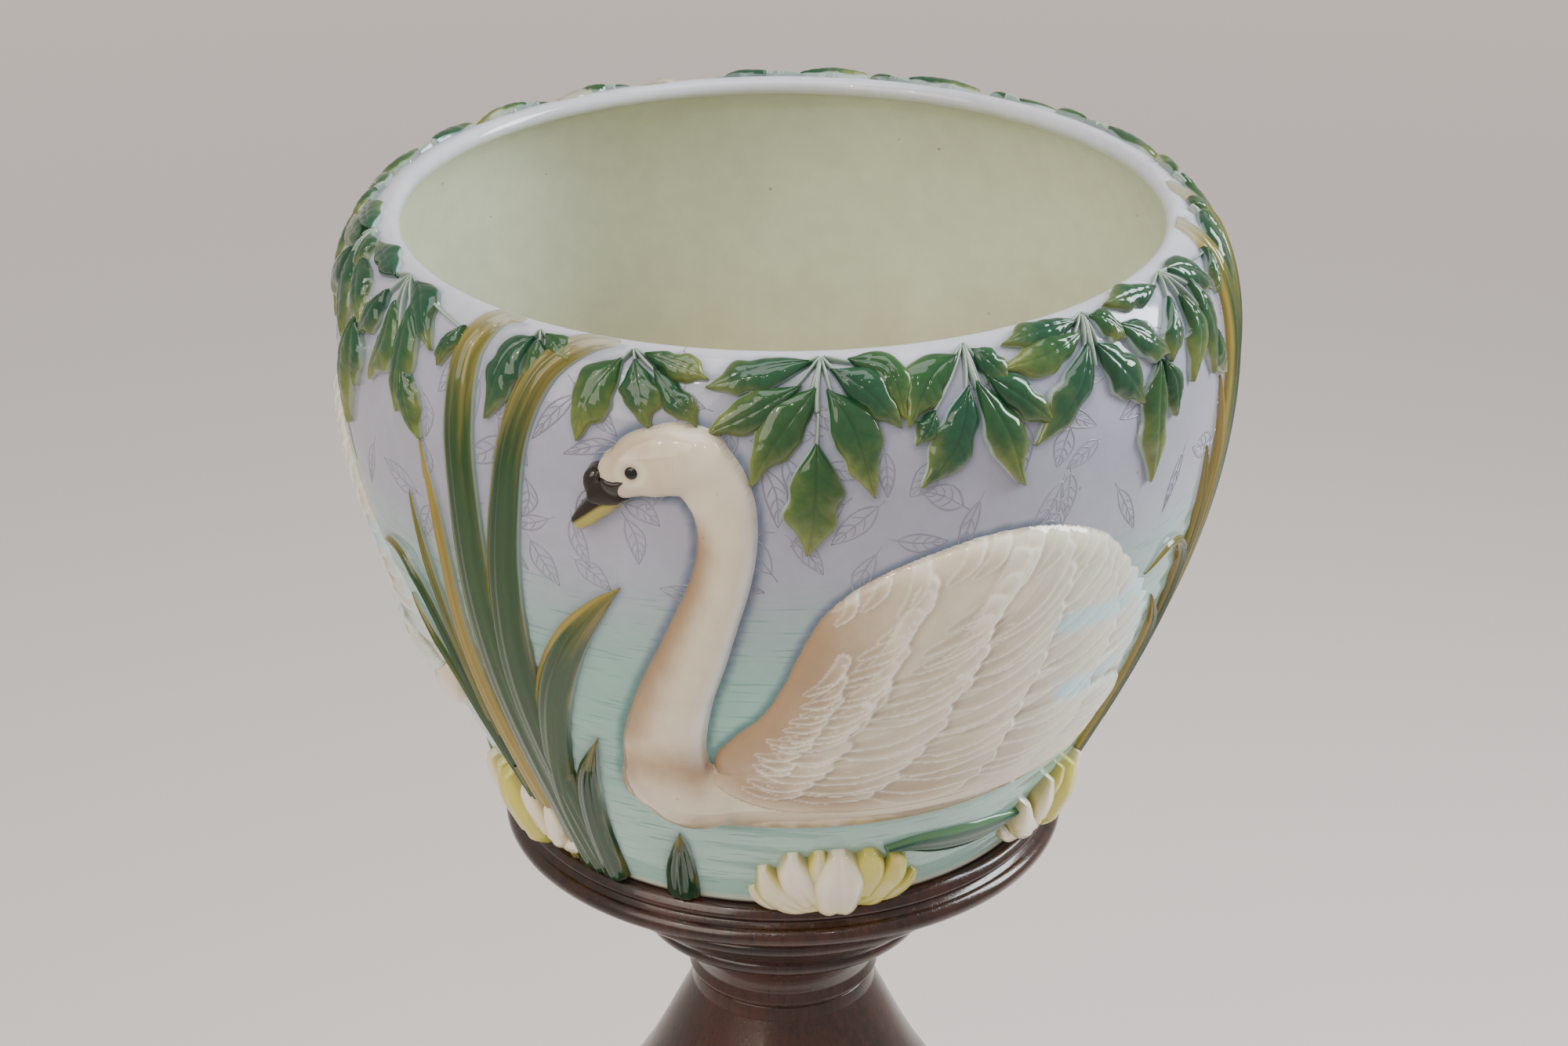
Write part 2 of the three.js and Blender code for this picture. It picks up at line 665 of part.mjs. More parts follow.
// The stem: a trumpet foot with a socket for the column's tenon and its own tenon below.
function stemGeometry() {
  const socket = LOW_TENON_RADIUS + FIT_GAP;
  const socketBottom = knopBottom - LOW_TENON_IN_STEM - FIT_GAP;
  const tenonBottom = stepBottom - STEM_TENON_IN_PLINTH;
  const up = (share) => stemBottom + STEM_HEIGHT * share;
  const out = (share) => WAIST_RADIUS + (STEM_FOOT_RADIUS - WAIST_RADIUS) * share;
  const stem = turned([
    [0, tenonBottom],
    [STEM_TENON_RADIUS, tenonBottom],
    [STEM_TENON_RADIUS, stemBottom],
    [STEM_FOOT_RADIUS - 2, stemBottom],
    [STEM_FOOT_RADIUS, up(0.05)],
    [STEM_FOOT_RADIUS - 3, up(0.11)],
    ...smooth([
      [out(0.88), up(0.13)], [out(0.5), up(0.24)], [out(0.18), up(0.45)], [out(0.02), up(0.74)],
      [out(0), up(0.86)],
    ], 5),
    [WAIST_RADIUS + 3, up(0.92)],
    [WAIST_RADIUS + 3, knopBottom],
    [socket, knopBottom],
    [socket, socketBottom],
    [0, socketBottom],
  ], TURNED_SIDES);
  return cut(stem, [coachScrewHole()]);
}

// The moulded step between the stem and the plinth.
function stepGeometry() {
  const bore = STEM_TENON_RADIUS + FIT_GAP;
  const step = turned([
    [bore, stepBottom],
    [STEP_RADIUS, stepBottom],
    [STEP_RADIUS, stepBottom + STEP_THICKNESS * 0.3],
    [STEP_RADIUS - 4, stepBottom + STEP_THICKNESS * 0.36],
    ...arc(STEP_RADIUS - 16, stepBottom + STEP_THICKNESS * 0.42, STEP_THICKNESS * 0.5, 15, 75, 3),
    [STEM_FOOT_RADIUS + 1, stemBottom],
    [bore, stemBottom],
    [bore, stepBottom],
  ], TURNED_SIDES);
  return cut(step, plinthScrews(FIT_GAP));
}

// The plinth: a heavy disc with a rounded edge, mortised above and counterbored below.
function plinthGeometry() {
  const mortise = STEM_TENON_RADIUS + FIT_GAP;
  const mortiseBottom = stepBottom - STEM_TENON_IN_PLINTH - FIT_GAP;
  const counterbore = WASHER_RADIUS + 2;
  const edge = PLINTH_THICKNESS * 0.4;
  const plinth = turned([
    [0, washerTop],
    [counterbore, washerTop],
    [counterbore, plinthBottom],
    [PLINTH_RADIUS - edge, plinthBottom],
    ...arc(PLINTH_RADIUS - edge, plinthBottom + edge, edge, -60, 80, 3),
    [PLINTH_RADIUS - edge, plinthBottom + 2 * edge + 2],
    [STEP_RADIUS + 3, stepBottom],
    [mortise, stepBottom],
    [mortise, mortiseBottom],
    [0, mortiseBottom],
  ], TURNED_SIDES);
  const pegHole = rod(FOOT_PEG_RADIUS + FIT_GAP, plinthBottom - 1, plinthBottom + FOOT_PEG_LENGTH + FIT_GAP, FOOT_SIDES);
  const holes = footTurns().map((turn) => moved(pegHole, FOOT_CIRCLE_RADIUS, turn));
  return cut(plinth, [...holes, ...plinthScrews(FIT_GAP), coachScrewHole()]);
}

function footTurns() {
  return Array.from({ length: FOOT_COUNT }, (_, i) => 2 * Math.PI * i / FOOT_COUNT);
}

// A bun foot with its peg.
function footGeometry() {
  const neck = FOOT_SOLE_RADIUS + 3;
  return turned([
    [0, 0],
    [FOOT_SOLE_RADIUS, 0],
    ...smooth([
      [FOOT_SOLE_RADIUS + 4, FOOT_HEIGHT * 0.06], [FOOT_BULGE_RADIUS, FOOT_HEIGHT * 0.42],
      [neck + 2, FOOT_HEIGHT * 0.8],
    ], 4),
    [neck, FOOT_HEIGHT * 0.84],
    [neck, FOOT_HEIGHT],
    [FOOT_PEG_RADIUS, FOOT_HEIGHT],
    [FOOT_PEG_RADIUS, FOOT_HEIGHT + FOOT_PEG_LENGTH],
    [0, FOOT_HEIGHT + FOOT_PEG_LENGTH],
  ], FOOT_SIDES);
}

// ---------------------------------------------------------------------------------------------
// The object
// ---------------------------------------------------------------------------------------------

const pedestal = new THREE.Group();
pedestal.add(
  piece("top_board", boardGeometry(), mahogany),
  piece("moulded_collar", collarGeometry(), mahogany),
  piece("urn_column", columnGeometry(), mahogany),
  piece("top_tenon_wedge", topWedge(0), beech),
  piece("low_tenon_wedge", lowWedge(0), beech),
  piece("knop_ring", knopGeometry(), mahogany),
  piece("trumpet_stem", stemGeometry(), mahogany),
  piece("base_step", stepGeometry(), mahogany),
  piece("base_plinth", plinthGeometry(), mahogany),
  piece("coach_screw", coachScrewGeometry(), steel),
  piece("coach_screw_washer", washerGeometry(), steel),
);
footTurns().forEach((turn, i) => {
  pedestal.add(piece(`bun_foot_${i + 1}`, moved(footGeometry(), FOOT_CIRCLE_RADIUS, turn), mahogany));
});
boardScrews(0).forEach((screw, i) => {
  pedestal.add(piece(`board_screw_${i + 1}`, screw, steel));
});
plinthScrews(0).forEach((screw, i) => {
  pedestal.add(piece(`plinth_screw_${i + 1}`, screw, steel));
});

const jardiniereOnStand = new THREE.Group();
jardiniereOnStand.add(pedestal, piece("jardiniere_bowl", bowlGeometry(), glaze));

export default jardiniereOnStand;
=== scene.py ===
# %% [markdown]
# # A glazed jardiniere on its turned stand
#
# A jardiniere is a large decorated pot that hides a plain flower pot. This one is moulded
# earthenware under coloured glazes: swans among reeds, water lilies at the foot and a garland of
# leaves under the lip. It stands loose on a pedestal of turned, polished mahogany.
#
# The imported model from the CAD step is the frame: it gives every place and every size.

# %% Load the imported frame
import math

import bpy
import numpy as np
from mathutils import Matrix, Vector, kdtree


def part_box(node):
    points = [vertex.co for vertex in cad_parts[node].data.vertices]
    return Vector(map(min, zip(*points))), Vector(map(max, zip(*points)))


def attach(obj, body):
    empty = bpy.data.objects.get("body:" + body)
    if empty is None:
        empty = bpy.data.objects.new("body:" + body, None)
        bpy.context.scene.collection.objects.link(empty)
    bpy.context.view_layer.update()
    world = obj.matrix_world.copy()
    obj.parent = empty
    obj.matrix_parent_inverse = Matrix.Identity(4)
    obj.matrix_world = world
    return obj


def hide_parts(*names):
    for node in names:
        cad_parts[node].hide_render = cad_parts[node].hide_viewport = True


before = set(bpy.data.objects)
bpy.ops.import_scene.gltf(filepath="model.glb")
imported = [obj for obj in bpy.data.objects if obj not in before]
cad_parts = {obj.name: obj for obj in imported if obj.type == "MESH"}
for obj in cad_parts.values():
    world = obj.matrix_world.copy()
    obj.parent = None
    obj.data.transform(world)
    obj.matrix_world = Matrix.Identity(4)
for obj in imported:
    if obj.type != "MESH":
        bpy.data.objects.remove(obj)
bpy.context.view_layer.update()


random = np.random.default_rng(7)

# %% [markdown]
# ## Camera
#
# The mouth of the pot is a true circle, so its ellipse in the photograph gives the camera: a
# long lens, 25.7 degrees downwards, level with a standing person's eye.

# %% Camera
SENSOR_WIDTH, LENS = 36, 77.4  # millimetres
CAMERA_PLACE = (0.0003, -1.2909, 1.4995)  # metres
CAMERA_TILT = 64.32  # degrees up from straight down

camera_data = bpy.data.cameras.new("camera")
camera_data.sensor_width, camera_data.lens = SENSOR_WIDTH, LENS
camera = bpy.data.objects.new("camera", camera_data)
camera.location = CAMERA_PLACE
camera.rotation_euler = (math.radians(CAMERA_TILT), 0, 0)
bpy.context.scene.collection.objects.link(camera)
bpy.context.scene.camera = camera
print("Camera lens in mm:", camera_data.lens)

# %% [markdown]
# ## Two helpers for node trees
#
# Geometry trees and shader trees are built the same way: put a node in, and join each input
# either to a number or to another node's output.

# %% Helpers for node trees
def put(tree, kind, inputs=None, **settings):
    node = tree.nodes.new(kind)
    for name, value in settings.items():
        setattr(node, name, value)
    for name, value in (inputs or {}).items():
        if isinstance(value, bpy.types.NodeSocket):
            tree.links.new(value, node.inputs[name])
        else:
            node.inputs[name].default_value = value
    return node


def sum_of(tree, operation, first, second=0.0, third=0.0, clamp=False):
    """One step of arithmetic in a tree; gives the result's socket."""
    return put(tree, "ShaderNodeMath", {0: first, 1: second, 2: third},
               operation=operation, use_clamp=clamp).outputs[0]


def times(tree, first, second, clamp=False):
    return sum_of(tree, "MULTIPLY", first, second, clamp=clamp)


def new_tree(name, kind, inputs, outputs):
    tree = bpy.data.node_groups.new(name, kind)
    for label, socket, value in inputs:
        made = tree.interface.new_socket(label, in_out="INPUT", socket_type="NodeSocket" + socket)
        if value is not None:
            made.default_value = value
    for label, socket in outputs:
        tree.interface.new_socket(label, in_out="OUTPUT", socket_type="NodeSocket" + socket)
    return tree, tree.nodes.new("NodeGroupInput"), tree.nodes.new("NodeGroupOutput")


def close_tree(tree, geometry, start, end):
    """Every geometry tree ends the same way: real meshes, smooth, with their material."""
    real = put(tree, "GeometryNodeRealizeInstances", {"Geometry": geometry})
    smooth = put(tree, "GeometryNodeSetShadeSmooth", {"Geometry": real.outputs[0]})
    coloured = put(tree, "GeometryNodeSetMaterial", {
        "Geometry": smooth.outputs[0], "Material": start.outputs["Material"]})
    tree.links.new(coloured.outputs[0], end.inputs[0])


print("Helpers are ready")

# %% [markdown]
# ## The lathe
#
# Nearly everything here was turned or jiggered, so one tree makes all of it: it takes a profile,
# a line of points in the X-Z plane, and sweeps it round the Z axis. Each point also carries how
# far along the profile it lies, which the materials use later.

# %% Geometry tree: turn a profile
lathe, start, end = new_tree("turn a profile", "GeometryNodeTree", [
    ("Profile", "Geometry", None), ("Sides", "Int", 96), ("Material", "Material", None),
], [("Geometry", "Geometry")])
count = put(lathe, "GeometryNodeAttributeDomainSize",
            {"Geometry": start.outputs["Profile"]}).outputs["Point Count"]
grid = put(lathe, "GeometryNodeMeshGrid", {
    "Size X": 1.0, "Size Y": 1.0,
    "Vertices X": sum_of(lathe, "ADD", start.outputs["Sides"], 1.0), "Vertices Y": count})
place = put(lathe, "ShaderNodeSeparateXYZ", {0: put(lathe, "GeometryNodeInputPosition").outputs[0]})
turn = sum_of(lathe, "MULTIPLY_ADD", place.outputs["X"], math.tau, math.pi)
row = sum_of(lathe, "ROUND",
             times(lathe, sum_of(lathe, "ADD", place.outputs["Y"], 0.5),
                   sum_of(lathe, "SUBTRACT", count, 1.0)))
point = put(lathe, "GeometryNodeSampleIndex", {
    "Geometry": start.outputs["Profile"], "Index": row,
    "Value": put(lathe, "GeometryNodeInputPosition").outputs[0]}, data_type="FLOAT_VECTOR")
along = put(lathe, "GeometryNodeSampleIndex", {
    "Geometry": start.outputs["Profile"], "Index": row,
    "Value": put(lathe, "GeometryNodeInputNamedAttribute", {"Name": "along"}).outputs["Attribute"]})
flat = put(lathe, "ShaderNodeSeparateXYZ", {0: point.outputs["Value"]})
swept = put(lathe, "ShaderNodeCombineXYZ", {
    "X": times(lathe, flat.outputs["X"], sum_of(lathe, "COSINE", turn)),
    "Y": times(lathe, flat.outputs["X"], sum_of(lathe, "SINE", turn)),
    "Z": flat.outputs["Z"]})
kept = put(lathe, "GeometryNodeStoreNamedAttribute", {
    "Geometry": grid.outputs["Mesh"], "Name": "along", "Value": along.outputs["Value"]})
wound = put(lathe, "GeometryNodeSetPosition", {"Geometry": kept.outputs[0], "Position": swept.outputs[0]})
joined = put(lathe, "GeometryNodeMergeByDistance", {"Geometry": wound.outputs[0], "Distance": 1e-6})
close_tree(lathe, joined.outputs[0], start, end)
print("The lathe tree has", len(lathe.nodes), "nodes")

# %% [markdown]
# ## Sprigs on the wall
#
# A potter presses relief in flat moulds and lays the damp sprigs on the pot. The script does the
# same: each form is drawn flat, with X in degrees round the pot, Y in millimetres up the wall
# and Z in millimetres of relief. This tree bends a flat drawing onto the wall's curve and
# repeats it round the axis, so the picture is drawn once and shows three times.

# %% Geometry tree: wrap a drawing on the wall
def round_the_axis(tree, geometry, start, first_turn=0.0):
    """Repeats a geometry at even turns round the Z axis."""
    share = sum_of(tree, "ADD", put(tree, "GeometryNodeInputIndex").outputs[0], first_turn)
    turn = sum_of(tree, "DIVIDE", times(tree, share, math.tau), start.outputs["Copies"])
    points = put(tree, "GeometryNodeMeshLine", {"Count": start.outputs["Copies"], "Offset": (0, 0, 0)})
    return put(tree, "GeometryNodeInstanceOnPoints", {
        "Points": points.outputs[0], "Instance": geometry,
        "Rotation": put(tree, "ShaderNodeCombineXYZ", {"Z": turn}).outputs[0]}).outputs[0]


wrap, start, end = new_tree("wrap on the wall", "GeometryNodeTree", [
    ("Drawing", "Geometry", None), ("Wall", "Object", None), ("Copies", "Int", 3),
    ("Lowest", "Float", 0.0), ("Material", "Material", None),
], [("Geometry", "Geometry")])
wall_mesh = put(wrap, "GeometryNodeObjectInfo", {"Object": start.outputs["Wall"]}).outputs["Geometry"]
drawn = put(wrap, "ShaderNodeSeparateXYZ", {0: put(wrap, "GeometryNodeInputPosition").outputs[0]})
on_wall = put(wrap, "GeometryNodeSampleCurve", {
    "Curves": put(wrap, "GeometryNodeMeshToCurve", {"Mesh": wall_mesh}).outputs[0],
    "Length": sum_of(wrap, "DIVIDE", drawn.outputs["Y"], 1000.0)}, mode="LENGTH")
spot = put(wrap, "ShaderNodeSeparateXYZ", {0: on_wall.outputs["Position"]})
slope = put(wrap, "ShaderNodeSeparateXYZ", {0: on_wall.outputs["Tangent"]})
lift = sum_of(wrap, "DIVIDE", drawn.outputs["Z"], 1000.0)
radius = sum_of(wrap, "MULTIPLY_ADD", slope.outputs["Z"], lift, spot.outputs["X"])
height = sum_of(wrap, "MULTIPLY_ADD", slope.outputs["X"], times(wrap, lift, -1.0), spot.outputs["Z"])
angle = sum_of(wrap, "RADIANS", drawn.outputs["X"])
bent = put(wrap, "ShaderNodeCombineXYZ", {
    "X": times(wrap, radius, sum_of(wrap, "SINE", angle)),
    "Y": times(wrap, radius, times(wrap, sum_of(wrap, "COSINE", angle), -1.0)),
    "Z": sum_of(wrap, "MAXIMUM", height, start.outputs["Lowest"])})
moved = put(wrap, "GeometryNodeSetPosition",
            {"Geometry": start.outputs["Drawing"], "Position": bent.outputs[0]})
close_tree(wrap, round_the_axis(wrap, moved.outputs[0], start), start, end)
print("The wrapping tree has", len(wrap.nodes), "nodes")

# %% [markdown]
# ## Copies on a circle
#
# The feet and the screws repeat round the axis too, but they keep their own shape.

# %% Geometry tree: copies on a circle
ring, start, end = new_tree("copies on a circle", "GeometryNodeTree", [
    ("Piece", "Geometry", None), ("Copies", "Int", 3), ("Circle", "Float", 0.1),
    ("First turn", "Float", 0.0), ("Material", "Material", None),
], [("Geometry", "Geometry")])
out = put(ring, "GeometryNodeSetPosition", {
    "Geometry": start.outputs["Piece"],
    "Offset": put(ring, "ShaderNodeCombineXYZ", {
        "Y": times(ring, start.outputs["Circle"], -1.0)}).outputs[0]})
copies = round_the_axis(ring, out.outputs[0], start, start.outputs["First turn"])
close_tree(ring, copies, start, end)
print("The ring tree has", len(ring.nodes), "nodes")

# %% [markdown]
# ## Running a tree
#
# A tree's result is kept as a plain mesh. Every piece stands at the origin, and its points alone
# say where it is, so that it can be measured and exported as it is seen.

# %% Run a tree and keep its result as a plain mesh
def grown(tree, mesh, material, **inputs):
    """The mesh that a geometry tree makes from another mesh. Inputs are set by identifier."""
    seed = bpy.data.objects.new("seed", mesh)
    bpy.context.scene.collection.objects.link(seed)
    modifier = seed.modifiers.new("tree", "NODES")
    modifier.node_group = tree
    for label, value in {"Material": material, **inputs}.items():
        modifier[tree.interface.items_tree[label.replace("_", " ")].identifier] = value
    graph = bpy.context.evaluated_depsgraph_get()
    made = bpy.data.meshes.new_from_object(
        seed.evaluated_get(graph), preserve_all_data_layers=True, depsgraph=graph)
    seed.modifiers.clear()
    bpy.data.objects.remove(seed)
    return made


def corners(mesh):
    values = np.empty(len(mesh.vertices) * 3)
    mesh.vertices.foreach_get("co", values)
    return values.reshape(-1, 3)


def facing_out(mesh, outwards):
    """Turns a mesh's faces round where they mostly point against `outwards`."""
    normals = np.empty(len(mesh.polygons) * 3)
    centres = np.empty(len(mesh.polygons) * 3)
    areas = np.empty(len(mesh.polygons))
    mesh.polygons.foreach_get("normal", normals)
    mesh.polygons.foreach_get("center", centres)
    mesh.polygons.foreach_get("area", areas)
    normals, centres = normals.reshape(-1, 3), centres.reshape(-1, 3)
    if outwards == "closed":
        agree = (normals * centres).sum(1) @ areas
    else:
        agree = (normals[:, :2] * centres[:, :2]).sum(1) @ areas
    if agree < 0:
        mesh.flip_normals()
    return mesh


def show(name, mesh, body, replaces=()):
    """Puts a finished mesh in the scene and says which body it rides on."""
    piece = bpy.data.objects.new(name, mesh)
    bpy.context.scene.collection.objects.link(piece)
    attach(piece, body)
    if replaces:
        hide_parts(*replaces)
    triangles = sum(len(polygon.vertices) - 2 for polygon in mesh.polygons)
    print(f"{name}: {triangles} triangles on {body}")
    return piece

# %% [markdown]
# ## Lines and profiles
#
# A few points say where a curve goes, and a spline through them makes it smooth. Corners of
# turned work are never knife-sharp: each is rounded by a fraction of a millimetre.

# %% Lines
def through(points, steps):
    """A smooth line through a few points, which may have any number of columns."""
    given = np.array(points, float)
    given = np.vstack([2 * given[0] - given[1], given, 2 * given[-1] - given[-2]])
    t = np.linspace(0, len(given) - 3, steps)
    i = np.minimum(t.astype(int), len(given) - 4)
    f = (t - i)[:, None]
    a, b, c, d = given[i], given[i + 1], given[i + 2], given[i + 3]
    return 0.5 * (2 * b + (c - a) * f + (2 * a - 5 * b + 4 * c - d) * f ** 2
                  + (3 * b - a - 3 * c + d) * f ** 3)


def portion(values):
    """Values held between 0 and 1."""
    return np.clip(values, 0, 1)


def bell(distance, width):
    """1 in the middle of a swelling or a groove, falling off on both sides."""
    return np.exp(-(distance / width) ** 2)


def lengths(line):
    return np.concatenate([[0], np.cumsum(np.linalg.norm(np.diff(line, axis=0), axis=1))])


def rounded(points, radius):
    """The same profile with each corner rounded by up to `radius` millimetres."""
    points = [np.array(point, float) for point in points]
    line = [points[0]]
    for before, corner, after in zip(points, points[1:], points[2:]):
        back, on = before - corner, after - corner
        cut = min(radius, np.linalg.norm(back) * 0.45, np.linalg.norm(on) * 0.45)
        back, on = back / np.linalg.norm(back), on / np.linalg.norm(on)
        if back @ on < -0.985:
            line.append(corner)
            continue
        a, b = corner + back * cut, corner + on * cut
        line += [(1 - t) ** 2 * a + 2 * t * (1 - t) * corner + t ** 2 * b for t in (0, 0.25, 0.5, 0.75, 1)]
    return np.array(line + [points[-1]])


def profile_mesh(line, along=None):
    """A line of [radius, height] in millimetres as the mesh that the lathe takes, in metres."""
    line = np.array(line, float)
    mesh = bpy.data.meshes.new("profile")
    points = np.stack([line[:, 0], 0 * line[:, 0], line[:, 1]], 1) / 1000
    mesh.from_pydata(points.tolist(), [(i, i + 1) for i in range(len(points) - 1)], [])
    values = lengths(line) if along is None else along
    mesh.attributes.new("along", "FLOAT", "POINT").data.foreach_set("value", values.astype(np.float32))
    return mesh


print("A corner of 90 degrees becomes", len(rounded([(0, 0), (1, 0), (1, 1)], 0.3)), "points")

# %% [markdown]
# ## Surface effects that several materials share
#
# Lead glaze is glass: it runs thin over every edge, collects in every hollow and darkens there.
# One group does that for all the colours on the pot, with faint flecks from the clay and the
# slight unevenness of a fired surface.

# %% Shader group: glaze
def noise(tree, vector, scale, detail=3.0, roughness=0.55):
    return put(tree, "ShaderNodeTexNoise", {
        "Vector": vector, "Scale": scale, "Detail": detail, "Roughness": roughness}).outputs["Fac"]


def ramp(tree, value, low, high, to_low=0.0, to_high=1.0):
    """A soft step: `to_low` up to `low`, `to_high` from `high`."""
    return put(tree, "ShaderNodeMapRange", {
        "Value": value, "From Min": low, "From Max": high, "To Min": to_low, "To Max": to_high},
        interpolation_type="SMOOTHSTEP").outputs["Result"]


def blend(tree, amount, first, second):
    return put(tree, "ShaderNodeMix", {"Factor": amount, 6: first, 7: second}, data_type="RGBA").outputs[2]


def colour(red, green, blue):
    """A colour as it is written in 0 to 255, as linear light."""
    values = [c / 255 for c in (red, green, blue)]
    return tuple(c / 12.92 if c <= 0.04045 else ((c + 0.055) / 1.055) ** 2.4 for c in values) + (1,)


glaze, start, end = new_tree("glaze", "ShaderNodeTree", [
    ("Colour", "Color", None), ("Pooled", "Color", None), ("Hollow", "Float", 0.0),
    ("Flecks", "Float", 1.0), ("Unevenness", "Float", 1.0),
], [("Colour", "Color"), ("Roughness", "Float"), ("Height", "Float")])
here = put(glaze, "ShaderNodeTexCoord").outputs["Object"]
cloud = noise(glaze, here, 14)
grainy = noise(glaze, here, 120, 4)
pool = times(glaze, start.outputs["Hollow"], ramp(glaze, cloud, 0.25, 0.75, 0.75, 1.15), clamp=True)
body_colour = blend(glaze, pool, start.outputs["Colour"], start.outputs["Pooled"])
tone = ramp(glaze, cloud, 0.3, 0.7, 0.93, 1.05)
tone = times(glaze, tone, ramp(glaze, grainy, 0.3, 0.7, 0.97, 1.03))
toned = put(glaze, "ShaderNodeVectorMath", {0: body_colour, "Scale": tone},
            operation="SCALE").outputs["Vector"]
cells = put(glaze, "ShaderNodeTexVoronoi", {"Vector": here, "Scale": 170.0})
lots = put(glaze, "ShaderNodeSeparateColor", {0: cells.outputs["Color"]}).outputs[0]
rare = ramp(glaze, lots, 0.955, 0.965)  # a few cells in a hundred get a fleck
fleck = times(glaze, rare, ramp(glaze, cells.outputs["Distance"], 0.10, 0.16, 1.0, 0.0))
fleck = times(glaze, fleck, times(glaze, start.outputs["Flecks"], 0.55), clamp=True)
flecked = blend(glaze, fleck, toned, colour(96, 74, 52))
skin = noise(glaze, here, 260, 2)
waves = noise(glaze, here, 38, 2)
glaze.links.new(flecked, end.inputs["Colour"])
glaze.links.new(ramp(glaze, grainy, 0.2, 0.8, 0.06, 0.12), end.inputs["Roughness"])
glaze.links.new(times(glaze, start.outputs["Unevenness"], sum_of(
    glaze, "MULTIPLY_ADD", waves, 0.9, times(glaze, skin, 0.12))), end.inputs["Height"])
print("The glaze group has", len(glaze.nodes), "nodes")

# %% [markdown]
# ### The brush
#
# Glazes are painted on and run a little in the kiln, so two colours meet in streaks instead of a
# clean line. A stretched noise moves the place where one gives way to the other.

# %% Shader group: brushed colours
brush, start, end = new_tree("brushed colours", "ShaderNodeTree", [
    ("First", "Color", None), ("Second", "Color", None), ("Amount", "Float", 0.0),
    ("Place", "Vector", None), ("Streaks", "Float", 0.25),
], [("Colour", "Color")])
streak = noise(brush, start.outputs["Place"], 1.0, 4.0, 0.6)
shifted = sum_of(brush, "MULTIPLY_ADD", sum_of(brush, "SUBTRACT", streak, 0.5),
                 times(brush, start.outputs["Streaks"], 2.5), start.outputs["Amount"])
mixed = blend(brush, ramp(brush, shifted, 0.08, 0.92), start.outputs["First"], start.outputs["Second"])
brush.links.new(mixed, end.inputs["Colour"])
print("The brush group has", len(brush.nodes), "nodes")

# %% [markdown]
# ### Starting and ending a material
#
# Every material starts from the Principled shader. A glazed one gets a thin glassy coat, reads
# the values that its piece's points carry, and ends in the glaze group.

# %% A material starter
def group(tree, inner, **inputs):
    return put(tree, "ShaderNodeGroup", inputs, node_tree=inner).outputs


def brushed(tree, first, second, amount, place, streaks):
    return group(tree, brush, First=first, Second=second, Amount=amount, Place=place,
                 Streaks=streaks)["Colour"]


def object_place(tree):
    return put(tree, "ShaderNodeTexCoord").outputs["Object"]


def scaled(tree, vector, *scale):
    """A place for a pattern: a larger scale on an axis makes the pattern finer along it."""
    return put(tree, "ShaderNodeMapping", {"Vector": vector, "Scale": scale}).outputs[0]


def new_material(name, **sockets):
    material = bpy.data.materials.new(name)
    material.use_nodes = True
    surface = material.node_tree.nodes["Principled BSDF"]
    for label, value in sockets.items():
        surface.inputs[label.replace("_", " ")].default_value = value
    return material, material.node_tree, surface


def glazed(name):
    """A material with the thin glassy coat of lead glaze."""
    return new_material(name, Coat_Weight=0.12, Coat_Roughness=0.03, IOR=1.46)


def attribute(tree, name):
    return put(tree, "ShaderNodeAttribute", attribute_name=name).outputs["Fac"]


def paint(tree, surface, outputs, bump_strength=0.3, bump_depth=0.0004):
    """Joins a group's colour, roughness and height to the surface."""
    tree.links.new(outputs["Colour"], surface.inputs["Base Color"])
    tree.links.new(outputs["Roughness"], surface.inputs["Roughness"])
    bump = put(tree, "ShaderNodeBump", {
        "Height": outputs["Height"], "Strength": bump_strength, "Distance": bump_depth})
    tree.links.new(bump.outputs[0], surface.inputs["Normal"])


def fire(tree, surface, painted, pooled, hollow, flecks, unevenness):
    """Ends a glazed material: the painted colour, and what it turns to in a hollow."""
    paint(tree, surface, group(tree, glaze, Colour=painted, Pooled=pooled, Hollow=hollow, Flecks=flecks,
                               Unevenness=unevenness))


print("Materials can be glazed, painted and fired")

# %% [markdown]
# ## The wall of the pot
#
# The outside is one cubic curve from the foot to the belly and a quarter of an ellipse over the
# shoulder to the crest of the lip. Everything on the pot is placed by its climb along this line.

# %% The wall's line
BOWL_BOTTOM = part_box("jardiniere_bowl")[0].z * 1000
BOWL_HEIGHT, BELLY_HEIGHT = 264, 210
FOOT_RADIUS, BELLY_RADIUS, CREST_RADIUS = 113, 183, 159
WALL, FLOOR, FLOOR_FILLET = 8, 10, 14
PANELS = 3

t = np.linspace(0, 1, 400)[:, None]
side = ((1 - t) ** 3 * np.array([FOOT_RADIUS, 0]) + 3 * (1 - t) ** 2 * t * np.array([FOOT_RADIUS + 35, 70])
        + 3 * (1 - t) * t ** 2 * np.array([BELLY_RADIUS, 0.62 * BELLY_HEIGHT])
        + t ** 3 * np.array([BELLY_RADIUS, BELLY_HEIGHT]))
q = np.linspace(0, math.pi / 2, 200)[1:, None]
shoulder = np.hstack([CREST_RADIUS + (BELLY_RADIUS - CREST_RADIUS) * np.cos(q),
                      BELLY_HEIGHT + (BOWL_HEIGHT - BELLY_HEIGHT) * np.sin(q)])
wall_line = np.vstack([side, shoulder])
wall_climb = lengths(wall_line)
CREST = wall_climb[-1]


def wall_radius(climb):
    return np.interp(climb, wall_climb, wall_line[:, 0])


def degrees_per_mm(climb):
    return np.degrees(1 / wall_radius(climb))


wall_object = bpy.data.objects.new("wall_line", profile_mesh(wall_line + [0, BOWL_BOTTOM]))
bpy.context.scene.collection.objects.link(wall_object)
print(f"The wall climbs {CREST:.1f} mm from the foot to the crest")

